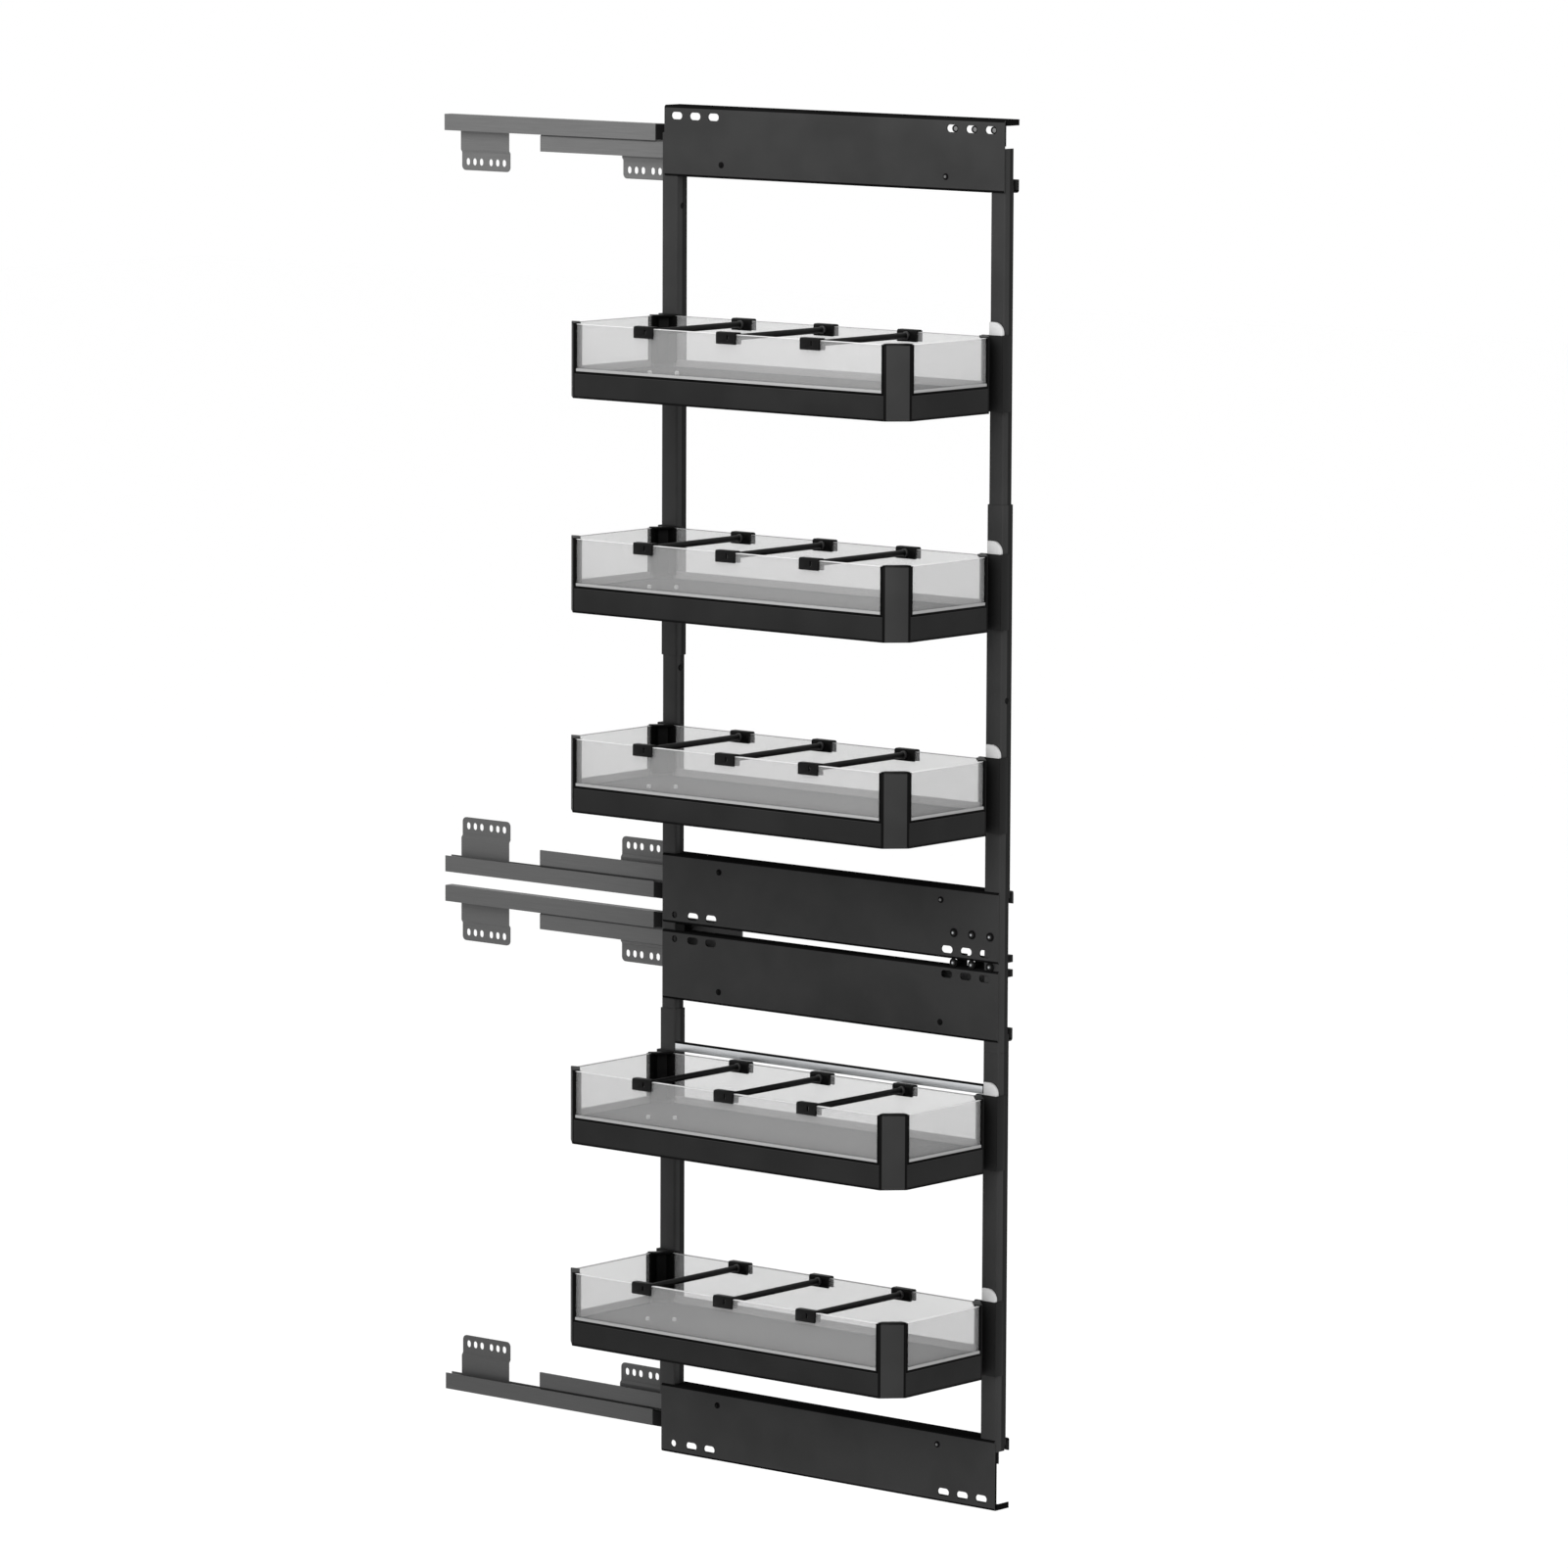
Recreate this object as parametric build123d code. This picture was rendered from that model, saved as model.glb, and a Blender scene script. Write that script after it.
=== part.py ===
from build123d import *
import os
from math import sqrt

# Pull-out pantry frame, full extension, shown pulled out. Millimetres.
# X points the way the frame pulls out, Y points to the cabinet's side wall, Z is up.
# The origin is on the side wall, at the middle of the lowest bracket's front tab.

# Travel and overall sizes
frame_rear_x = 46.5
frame_depth = 443.5
upper_frame_height = 840.8
lower_frame_height = 549.0
frame_gap = 7.1
face_to_wall = 29.1

# Folded plates that carry the slides
plate_height = 72.3
plate_sheet = 1.5
plate_flange = 23.8
joining_flange = 12.0
plate_lip = 13.0
plate_end_flap = 6.0
plate_notch_clearance = 0.2
plate_slot_length = 14.5
plate_slot_width = 7.5
plate_slot_inset = 10.5
joined_slot_inset = 9.0
plate_slot_pitch = 24.5
rear_slot_inset = 16.5
front_slot_inset = 17.0
rear_hole_diameter = 7.0
fixing_screw_inset = 13.8
fixing_screw_from_rear = 76.5
fixing_screw_from_front = 74.0

# Uprights: square tubes, each upper one telescopes and runs down behind both joined plates
upright_width = 20.9
upright_depth = 16.7
upright_wall = 1.0
upright_rear_overhang = 4.6
upright_front_overhang = 0.9
upright_end_inset = 28.4
upright_foot_inset = 60.0
lower_upright_from_top = 82.8
upright_joint_overlap = 60.0
upright_back_clearance = 0.6
telescope_clearance = 0.1
inner_tube_wall = 1.0
telescope_overlap = 215.0
rear_step_from_top = 563.6
front_step_from_top = 381.1
clamp_screw_from_top = 576.6
rear_screw_from_top = 102.6
clamp_hole_diameter = 6.4
clamp_screw_clearance = 0.2
clamp_screw_recess = 0.3
stop_lug_width = 14.0
stop_lug_depth = 8.8
stop_lug_height = 7.5

# Slides: cabinet rail, middle rail, frame rail, one above the other
slide_thickness = 12.6
rail_setback = 13.5
rail_sheet = 1.2
cabinet_rail_height = 17.0
cabinet_rail_length = 292.0
cabinet_rail_front = 20.0
end_guide_clearance = 0.3
cabinet_web_height = 36.5
cabinet_web_setback = 2.0
wall_tab_width = 67.0
wall_tab_pitch = 224.0
wall_tab_end = 9.0
wall_tab_corner = 5.0
wall_slot_from_edge = 49.4
wall_slot_width = 5.5
wall_slot_length = 7.5
wall_slot_pitch = 9.3
wall_slot_group_pitch = 32.0
middle_rail_length = 276.0
middle_rail_rear = -140.0
middle_rail_sheet = 2.2
middle_rail_edge = 34.5
middle_lower_setback = 4.2
middle_upper_setback = 2.3
middle_floor_gap = 1.8
frame_rail_inset = 2.0
frame_rail_front_inset = 14.0
frame_rail_start = 19.4
frame_rail_top = 38.0
frame_rail_web_end = 44.0
joined_rail_web_end = 78.0
frame_rail_lip_start = 22.0
frame_rail_inner_width = 7.5
joggle_height = 2.6

# Where each slide sits on its plate
slide_inset = 20.9
joining_slide_overhang = 13.5

# Ball cages
cage_sheet = 0.6
cage_leg = 10.0
cage_floor_gap = 0.5
ball_clearance = 0.1
cabinet_cage_length = 140.0
cabinet_cage_rows = 5
frame_cage_length = 76.0
frame_cage_rows = 4
cage_end_gap = 8.0
cage_share = 0.5

# Baskets
upper_basket_shares = (0.7903, 0.4326, 0.0973)
lower_basket_shares = (0.871, 0.2077)
basket_width = 158.9
basket_gap = 2.0
corner_leg = 20.0
corner_height = 76.0
corner_return = 5.0
corner_cap_depth = 8.0
corner_cap_thickness = 2.0
pane_cover = 4.0
rim_height = 27.0
rim_sheet = 1.5
rim_lip = 9.0
floor_ledge = 14.0
floor_thickness = 6.0
floor_drop = 1.0
floor_clearance = 0.4
pane_thickness = 4.0
pane_clearance = 0.3
pane_drop = 1.0
hanger_cheek = 1.2
hanger_cheek_depth = 9.0
hanger_seat = 6.0
clip_height = 13.0
clip_corner = 11.0
clip_thickness = 3.6
cross_bar_height = 10.0
cross_bar_thickness = 3.0

# Dividers that slide along the basket glass
divider_shares = (0.2537, 0.4983, 0.743)
divider_rod_diameter = 5.0
divider_clip_width = 25.0
divider_clip_height = 12.0
divider_clip_top = 1.0
divider_outer_leg = 2.4
divider_inner_leg = 7.0
divider_glass_clearance = 0.3
divider_edge = 1.5

# Fasteners
screw_diameter = 5.0
screw_head_diameter = 9.0
screw_head_height = 2.2
screw_sleeve_diameter = 8.0
screw_clearance = 0.15
joint_screw_inset = 10.4
joint_screw_pitch = 23.3
joint_screw_height = 26.8
bolt_diameter = 5.0
bolt_head_diameter = 9.5
bolt_head_height = 2.2
bolt_end = 4.0
joining_nut_width = 12.0
joining_nut_height = 16.0
joining_nut_thickness = 3.0
rear_block_width = 13.0
rear_block_inset = 23.4
rear_bolt_setback = 7.0
rear_bolt_head_height = 3.5

overrun = 1.0
half = 0.5

# Places worked out from the sizes above
frame_bottom_z = -(slide_inset + wall_slot_from_edge)
frame_front_x = frame_rear_x + frame_depth
face_y = -face_to_wall
post_front_y = face_y + plate_sheet
post_back_y = post_front_y + upright_depth
rail_front_y = post_front_y + rail_setback
strip_y = -slide_thickness
lower_top_z = frame_bottom_z + lower_frame_height
upper_bottom_z = lower_top_z + frame_gap
frame_top_z = upper_bottom_z + upper_frame_height
basket_back_y = face_y - basket_gap
basket_front_y = basket_back_y - basket_width
middle_rail_front = middle_rail_rear + middle_rail_length
cabinet_rail_rear = cabinet_rail_front - cabinet_rail_length
frame_rail_rear = frame_rear_x + frame_rail_inset
frame_rail_front = frame_front_x - frame_rail_front_inset
rear_post_x = frame_rear_x - upright_rear_overhang
front_post_x = frame_front_x + upright_front_overhang - upright_width
joint_z = (lower_top_z + upper_bottom_z) * half

# name, edge of the slide that its heights count from, and the way they count
slides = (
    ("upper_top", frame_top_z - slide_inset, -1),
    ("upper_bottom", upper_bottom_z + slide_inset, 1),
    ("lower_top", lower_top_z + joining_slide_overhang, -1),
    ("lower_bottom", frame_bottom_z + slide_inset, 1),
)


def block(x0, x1, y0, y1, z0, z1):
    """A box between two corners."""
    x0, x1 = min(x0, x1), max(x0, x1)
    y0, y1 = min(y0, y1), max(y0, y1)
    z0, z1 = min(z0, z1), max(z0, z1)
    return Pos(x0, y0, z0) * Box(x1 - x0, y1 - y0, z1 - z0, align=(Align.MIN, Align.MIN, Align.MIN))


def sheet_outline(points, thickness):
    """The closed outline of a bent sheet: one side is given, the other lies to its left."""
    directions = []
    for a, b in zip(points, points[1:]):
        length = sqrt((b[0] - a[0]) ** 2 + (b[1] - a[1]) ** 2)
        directions.append(((b[0] - a[0]) / length, (b[1] - a[1]) / length))
    other = []
    for i, (u, v) in enumerate(points):
        before = directions[max(i - 1, 0)]
        after = directions[min(i, len(directions) - 1)]
        across = (-(before[1] + after[1]), before[0] + after[0])
        offset = thickness / (across[0] * -before[1] + across[1] * before[0])
        other.append((u + across[0] * offset, v + across[1] * offset))
    return list(points) + other[::-1]


def rail(points, thickness, x0, x1):
    """A bent sheet, given by (Y, Z) points, running along X."""
    wire = Polyline(*[(0, y, z) for y, z in sheet_outline(points, thickness)], close=True)
    face = make_face(wire)
    return Pos(x0, 0, 0) * extrude(face, amount=x1 - x0, dir=(1, 0, 0))


def along_y(radius, x, z, y0, y1):
    """A round bar or bore along Y."""
    return Pos(x, (y0 + y1) * half, z) * Rot(90, 0, 0) * Cylinder(radius, abs(y1 - y0))


def along_z(radius, x, y, z0, z1):
    """A round bar or bore along Z."""
    return Pos(x, y, (z0 + z1) * half) * Cylinder(radius, abs(z1 - z0))


def slot_cut(x, z, length, width, y0, y1, upright=False):
    """A slot through a sheet that faces Y."""
    turn = 90 if upright else 0
    outline = Rot(0, 0, turn) * SlotOverall(length, width)
    return Pos(x, y1, z) * Rot(90, 0, 0) * extrude(outline, amount=abs(y1 - y0))


def save(node, shape):
    """Writes one node's STEP file."""
    shape.label = node
    export_step(shape, "parts/" + node + ".step")


def group(solids):
    """Separate solids that share one node."""
    return Compound(children=list(solids))


def upright_slots_x():
    """Middle places of the slots at both ends of a plate."""
    rear = [frame_rear_x + rear_slot_inset + i * plate_slot_pitch for i in range(3)]
    front = [frame_front_x - front_slot_inset - i * plate_slot_pitch for i in range(3)]
    return rear, front


def fixing_screw_x():
    """Places of the two screws that tie a plate to its frame rail."""
    return (frame_rear_x + fixing_screw_from_rear, frame_front_x - fixing_screw_from_front)


def plate(outer_z, way, joined, round_rear_hole):
    """A folded plate. Its outer edge is at outer_z and its height runs the way given."""
    outer_flange = joining_flange if joined else plate_flange
    slot_inset = joined_slot_inset if joined else plate_slot_inset
    inner_z = outer_z + way * plate_height
    lip_z = inner_z - way * plate_lip
    back_y = face_y + plate_flange
    points = [
        (face_y + outer_flange, outer_z),
        (face_y, outer_z),
        (face_y, inner_z),
        (back_y, inner_z),
        (back_y, lip_z),
    ]
    if way < 0:
        sheet = rail(points, plate_sheet, frame_rear_x, frame_front_x)
    else:
        sheet = rail(points[::-1], plate_sheet, frame_rear_x, frame_front_x)
    notched = [inner_z, outer_z] if joined else [inner_z]
    for x0 in (rear_post_x, front_post_x):
        for edge in notched:
            sheet -= block(
                x0 - plate_notch_clearance,
                x0 + upright_width + plate_notch_clearance,
                post_front_y,
                post_back_y + plate_notch_clearance,
                edge - plate_sheet - overrun,
                edge + plate_sheet + overrun,
            )
    if not joined:
        sheet += block(frame_front_x - plate_sheet, frame_front_x, face_y, back_y,
                       outer_z, outer_z + way * plate_end_flap)
    slot_z = outer_z + way * slot_inset
    rear, front = upright_slots_x()
    for i, x in enumerate(rear + front):
        if i == 0 and round_rear_hole:
            sheet -= along_y(rear_hole_diameter * half, x, slot_z, face_y - overrun, post_front_y + overrun)
        else:
            sheet -= slot_cut(x, slot_z, plate_slot_length, plate_slot_width,
                              face_y - overrun, post_front_y + overrun)
    screw_z = inner_z - way * fixing_screw_inset
    for x in fixing_screw_x():
        sheet -= along_y(screw_diameter * half + screw_clearance, x, screw_z,
                         face_y - overrun, post_front_y + overrun)
    return sheet


def joint_screw_x():
    """Places of the three rivets above the front slots of the joined plate."""
    return [frame_front_x - joint_screw_inset - i * joint_screw_pitch for i in range(3)]


def joint_screw_cut(sheet):
    """Bores for those rivets."""
    for x in joint_screw_x():
        sheet -= along_y(screw_diameter * half + screw_clearance, x, upper_bottom_z + joint_screw_height,
                         face_y - overrun, post_front_y + overrun)
    return sheet


def rear_bolt_place():
    """X and Y of the bolt that holds the block between the frames at the rear."""
    return frame_rear_x + rear_block_inset, face_y + rear_bolt_setback


def rear_bolt_cut(sheet):
    """Bore for that bolt."""
    x, y = rear_bolt_place()
    return sheet - along_z(bolt_diameter * half + screw_clearance, x, y,
                           lower_top_z - plate_sheet - overrun, upper_bottom_z + plate_sheet + overrun)


def tube(x0, width, y0, depth, z0, z1, wall):
    """A square tube standing along Z."""
    outer = block(x0, x0 + width, y0, y0 + depth, z0, z1)
    bore = block(x0 + wall, x0 + width - wall, y0 + wall, y0 + depth - wall, z0 - overrun, z1 + overrun)
    return outer - bore


def clamp_places():
    """Side X, height and depth of the clamp screws: they reach through the walls they hold."""
    walls = upright_wall + telescope_clearance + inner_tube_wall
    rear_x = rear_post_x + upright_width
    front_x = front_post_x + upright_width
    return (
        (rear_x, frame_top_z - rear_screw_from_top, upright_wall),
        (rear_x, frame_top_z - clamp_screw_from_top, walls),
        (front_x, frame_top_z - clamp_screw_from_top, walls),
    )


def clamp_bar(place, radius, start, end):
    """A round bar or bore along X in the side of an upright, between two depths."""
    x_side, z, _ = place
    y = post_front_y + upright_depth * half
    return Pos(x_side - (start + end) * half, y, z) * Rot(0, 90, 0) * Cylinder(radius, abs(end - start))


def clamp_holes(tube_body):
    """Holes for the clamp screws in the sides of the uprights that face +X."""
    for place in clamp_places():
        tube_body -= clamp_bar(place, clamp_hole_diameter * half, -overrun, place[2] + overrun)
    return tube_body


def clamp_screws():
    """The clamp screws, let in a little below the side of the upright."""
    radius = clamp_hole_diameter * half - clamp_screw_clearance
    return [clamp_bar(place, radius, clamp_screw_recess, place[2]) for place in clamp_places()]


def back_cuts():
    """Heights where the uprights' backs are cut away for the slides."""
    cuts = []
    for name, edge_z, way in slides:
        web_end = joined_rail_web_end if name == "lower_top" else frame_rail_web_end
        start = edge_z - way * slide_inset
        end = edge_z + way * (web_end + upright_back_clearance)
        cuts.append((min(start, end), max(start, end)))
    return cuts


def cut_back(tube_body):
    """Takes the back off an upright where a slide runs behind it."""
    for low, high in back_cuts():
        for x0 in (rear_post_x, front_post_x):
            tube_body -= block(x0 - overrun, x0 + upright_width + overrun, rail_front_y,
                               post_back_y + overrun, low, high)
    return tube_body


def stop_lugs():
    """Two lugs behind the front upright, level with the joined edges of the plates."""
    x1 = frame_front_x
    lugs = []
    for z, way in ((upper_bottom_z, 1), (lower_top_z, -1)):
        lugs.append(block(x1 - stop_lug_width, x1, rail_front_y, rail_front_y + stop_lug_depth,
                          z, z + way * stop_lug_height))
    return lugs


def upper_uprights():
    """Both telescopic uprights of the upper frame, as four sections."""
    top = frame_top_z - upright_end_inset
    seat_z = lower_top_z - lower_upright_from_top
    play = upright_wall + telescope_clearance
    sections = {}
    for side, x0, step, wide_on_top in (
        ("rear", rear_post_x, rear_step_from_top, True),
        ("front", front_post_x, front_step_from_top, False),
    ):
        step_z = frame_top_z - step
        if wide_on_top:
            wide = (step_z, top)
            slim = (seat_z - upright_joint_overlap, step_z + telescope_overlap)
        else:
            wide = (seat_z, step_z)
            slim = (step_z - telescope_overlap, top)
        outer = tube(x0, upright_width, post_front_y, upright_depth, wide[0], wide[1], upright_wall)
        inner = tube(x0 + play, upright_width - 2 * play, post_front_y + play,
                     upright_depth - 2 * play, slim[0], slim[1], inner_tube_wall)
        outer = cut_back(clamp_holes(outer))
        inner = cut_back(clamp_holes(inner))
        if not wide_on_top:
            outer += stop_lugs()
            outer -= along_y(bolt_diameter * half + screw_clearance, joint_screw_x()[0], joint_z,
                             post_front_y - overrun, rail_front_y)
        names = ("top", "bottom") if wide_on_top else ("bottom", "top")
        sections["upper_" + side + "_upright_" + names[0]] = outer
        sections["upper_" + side + "_upright_" + names[1]] = inner
    return sections


def lower_uprights():
    """The two uprights of the lower frame."""
    top = lower_top_z - lower_upright_from_top
    bottom = frame_bottom_z + upright_foot_inset
    sections = {}
    for side, x0 in (("rear", rear_post_x), ("front", front_post_x)):
        body = tube(x0, upright_width, post_front_y, upright_depth, bottom, top, upright_wall)
        sections["lower_" + side + "_upright"] = cut_back(body)
    return sections


def heights(edge_z, way, *values):
    """Turns heights of the slide's section to Z."""
    return [edge_z + way * v for v in values]


def cabinet_rail(edge_z, way):
    """The rail on the cabinet wall: a trough, its web and two wall tabs with slots."""
    front_top, floor, web_top = heights(edge_z, way, cabinet_rail_height, 0, cabinet_web_height)
    web_y = -cabinet_web_setback
    points = [(strip_y, front_top), (strip_y, floor), (web_y, floor), (web_y, front_top)]
    if way < 0:
        points = points[::-1]
    body = rail(points, rail_sheet, cabinet_rail_rear, cabinet_rail_front)
    body += block(cabinet_rail_front, wall_tab_width * half, web_y - rail_sheet, web_y, floor, front_top)
    tab_top = edge_z + way * (wall_slot_from_edge + wall_tab_end)
    joggle_z = edge_z + way * (cabinet_web_height + joggle_height)
    low_z = front_top - way * joggle_height
    tab_points = [(web_y, low_z), (web_y, web_top), (0, joggle_z), (0, tab_top)]
    if way < 0:
        tab_points = tab_points[::-1]
    slot_z = edge_z + way * wall_slot_from_edge
    for tab_x in (0, -wall_tab_pitch):
        x0 = tab_x - wall_tab_width * half
        tab = rail(tab_points, rail_sheet, x0, x0 + wall_tab_width)
        corners = tab.edges().filter_by(Axis.Y)
        outer = corners.filter_by(lambda e: abs(e.center().Z - tab_top) < rail_sheet)
        tab = fillet(outer, wall_tab_corner)
        for group_x in (-wall_slot_group_pitch * half, wall_slot_group_pitch * half):
            for i in (-1, 0, 1):
                tab -= slot_cut(tab_x + group_x + i * wall_slot_pitch, slot_z, wall_slot_length,
                                wall_slot_width, -rail_sheet - overrun, overrun, upright=True)
        body += tab
    return body


def middle_rail(edge_z, way):
    """The middle rail: a joggled blade that runs in the cabinet rail and carries the frame rail."""
    lower_y = strip_y + middle_lower_setback
    upper_y = strip_y + middle_upper_setback
    foot = rail_sheet + middle_floor_gap
    bend_low = cabinet_rail_height
    bend_high = bend_low + joggle_height
    z_foot, z_low, z_high, z_top = heights(edge_z, way, foot, bend_low, bend_high, middle_rail_edge)
    points = [(lower_y + middle_rail_sheet, z_foot), (lower_y + middle_rail_sheet, z_low),
              (upper_y + middle_rail_sheet, z_high), (upper_y + middle_rail_sheet, z_top)]
    if way < 0:
        points = points[::-1]
    return rail(points, middle_rail_sheet, middle_rail_rear, middle_rail_front)


def end_guide(edge_z, way):
    """The plastic guide in the front end of a cabinet rail, cut out for the middle rail."""
    back_y = -cabinet_web_setback - rail_sheet
    low, high = heights(edge_z, way, 0, cabinet_rail_height - rail_sheet)
    body = block(cabinet_rail_front, wall_tab_width * half, strip_y, back_y, low, high)
    blade_front = strip_y + middle_lower_setback - end_guide_clearance
    blade_back = strip_y + middle_lower_setback + middle_rail_sheet + end_guide_clearance
    blade_foot, above = heights(edge_z, way, rail_sheet + middle_floor_gap - end_guide_clearance,
                                cabinet_rail_height + overrun)
    body -= block(cabinet_rail_front - overrun, wall_tab_width * half + overrun,
                  blade_front, blade_back, blade_foot, above)
    return body


def frame_rail(edge_z, way, web_end):
    """The rail on the frame: a web against the uprights and a hook over the middle rail."""
    front_y = rail_front_y
    back_y = front_y + rail_sheet + frame_rail_inner_width + rail_sheet
    z_start, z_top, z_lip, z_end = heights(edge_z, way, frame_rail_start, frame_rail_top,
                                           frame_rail_lip_start, web_end)
    web = block(frame_rail_rear, frame_rail_front, front_y, front_y + rail_sheet, z_start, z_end)
    points = [(front_y, z_top), (back_y, z_top), (back_y, z_lip)]
    if way > 0:
        points = points[::-1]
    hook = rail(points, rail_sheet, frame_rail_rear, frame_rail_front)
    body = web + hook
    return body


def cage(floor_z, leg_way, front_y, back_y, ball_front, ball_back, ball_radius, x0, x1, rows):
    """A folded strip with two rows of balls in it."""
    leg_end = floor_z + leg_way * cage_leg
    strip = [(front_y, leg_end), (front_y, floor_z), (back_y, floor_z), (back_y, leg_end)]
    if leg_way < 0:
        strip = strip[::-1]
    body = rail(strip, cage_sheet, x0, x1)
    pitch = (x1 - x0) / rows
    ball_z = floor_z + leg_way * cage_leg * cage_share
    for row in range(rows):
        x = x0 + pitch * (row + half)
        for y in (ball_front, ball_back):
            body += Pos(x, y, ball_z) * Sphere(ball_radius)
    return body


def cabinet_cage(edge_z, way):
    """Balls between the cabinet rail and the middle rail."""
    inner_front = strip_y + rail_sheet
    inner_back = -cabinet_web_setback - rail_sheet
    blade_front = strip_y + middle_lower_setback
    blade_back = blade_front + middle_rail_sheet
    ball_front = (inner_front + blade_front) * half
    ball_back = (inner_back + blade_back) * half
    radius = min(blade_front - inner_front, inner_back - blade_back) * half - ball_clearance
    floor_z = edge_z + way * (rail_sheet + cage_floor_gap)
    x0 = middle_rail_rear + cage_end_gap
    return cage(floor_z, way, ball_front - cage_sheet * half, ball_back + cage_sheet * half,
                ball_front, ball_back, radius, x0, x0 + cabinet_cage_length, cabinet_cage_rows)


def frame_cage(edge_z, way):
    """Balls between the middle rail and the frame rail."""
    inner_front = rail_front_y + rail_sheet
    inner_back = inner_front + frame_rail_inner_width
    blade_front = strip_y + middle_upper_setback
    blade_back = blade_front + middle_rail_sheet
    ball_front = (inner_front + blade_front) * half
    ball_back = (inner_back + blade_back) * half
    radius = min(blade_front - inner_front, inner_back - blade_back) * half - ball_clearance
    floor_z = edge_z + way * (frame_rail_top - rail_sheet - cage_floor_gap)
    x0 = frame_rail_rear + cage_end_gap
    return cage(floor_z, -way, ball_front - cage_sheet * half, ball_back + cage_sheet * half,
                ball_front, ball_back, radius, x0, x0 + frame_cage_length, frame_cage_rows)


def basket_outline(inset):
    """The basket's plan, a rectangle with cut corners, moved inwards."""
    x0, x1 = frame_rear_x + inset, frame_front_x - inset
    y0, y1 = basket_front_y + inset, basket_back_y - inset
    leg = corner_leg - inset * (2 - sqrt(2))
    return [(x0 + leg, y0), (x1 - leg, y0), (x1, y0 + leg), (x1, y1 - leg),
            (x1 - leg, y1), (x0 + leg, y1), (x0, y1 - leg), (x0, y0 + leg)]


def basket_prism(inset, z0, z1):
    """The basket's plan as a solid between two heights."""
    face = make_face(Polyline(*[(x, y, 0) for x, y in basket_outline(inset)], close=True))
    return Pos(0, 0, z0) * extrude(face, amount=z1 - z0)


def basket_frame(z):
    """The steel rim with its floor ledge, and the four cut corner posts that stand on it."""
    ledge_z = z + rim_height - floor_drop - floor_thickness
    rim = basket_prism(0, z, z + rim_height) - basket_prism(rim_sheet, z - overrun, z + rim_height + overrun)
    lip = basket_prism(0, z, z + rim_sheet) - basket_prism(rim_lip, z - overrun, z + rim_height)
    ledge = basket_prism(0, ledge_z - rim_sheet, ledge_z) - basket_prism(floor_ledge, z, z + rim_height)
    top = z + corner_height
    wall = basket_prism(0, z, top) - basket_prism(rim_sheet, z - overrun, top + overrun)
    cap = basket_prism(0, top - corner_cap_thickness, top) - basket_prism(corner_cap_depth, z, top + overrun)
    body = rim + lip + ledge
    body += corner_parts(wall, corner_leg + corner_return, ledge_z, top)
    body += corner_parts(cap, corner_leg, top - corner_cap_thickness, top)
    return body


def corner_parts(ring, reach, z0, z1):
    """The four corners of a ring, each as far as reach from the basket's corner."""
    corners = []
    for x0 in (frame_rear_x, frame_front_x - reach):
        for y0 in (basket_front_y, basket_back_y - reach):
            corners.append(ring & block(x0, x0 + reach, y0, y0 + reach, z0, z1))
    return corners


def basket_floor(z):
    """The floor panel, cut at the corners, lying on the rim's ledge inside the panes."""
    inset = rim_sheet + pane_clearance + pane_thickness + floor_clearance
    top = z + rim_height - floor_drop
    return basket_prism(inset, top - floor_thickness, top)


def pane_planes():
    """Outer faces of the panes: front, back, left and right."""
    gap = rim_sheet + pane_clearance
    return (basket_front_y + gap, basket_back_y - gap, frame_rear_x + gap, frame_front_x - gap)


def basket_glass(z):
    """Four panes that stand on the ledge between the corner posts."""
    low = z + rim_height - floor_drop - floor_thickness
    top = z + corner_height - pane_drop
    end = corner_leg + corner_return - pane_cover
    front, back, left, right = pane_planes()
    x0, x1 = frame_rear_x + end, frame_front_x - end
    y0, y1 = basket_front_y + end, basket_back_y - end
    return [
        block(x0, x1, front, front + pane_thickness, low, top),
        block(x0, x1, back - pane_thickness, back, low, top),
        block(left, left + pane_thickness, y0, y1, low, top),
        block(right - pane_thickness, right, y0, y1, low, top),
    ]


def hanger(outwards, z):
    """A bracket between the basket's back and the upright, with a cheek round its outer side."""
    if outwards > 0:
        side, inner_x = front_post_x + upright_width, frame_front_x - corner_leg - hanger_seat
    else:
        side, inner_x = rear_post_x, frame_rear_x + corner_leg + hanger_seat
    front = block(inner_x, side, basket_back_y, post_front_y, z, z + corner_height)
    cheek = block(side, side + outwards * hanger_cheek, basket_back_y,
                  post_front_y + hanger_cheek_depth, z, z + corner_height)
    return front + cheek


def lock_clip(z):
    """The pale clip above the front hanger, with one round corner."""
    x0, x1 = front_post_x, front_post_x + upright_width
    low = z + corner_height
    body = block(x0, x1, post_front_y - clip_thickness, post_front_y, low, low + clip_height)
    edges = body.edges().filter_by(Axis.Y)
    edges = edges.filter_by(lambda e: e.center().X > (x0 + x1) * half and e.center().Z > low + clip_height * half)
    return fillet(edges, clip_corner)


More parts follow.
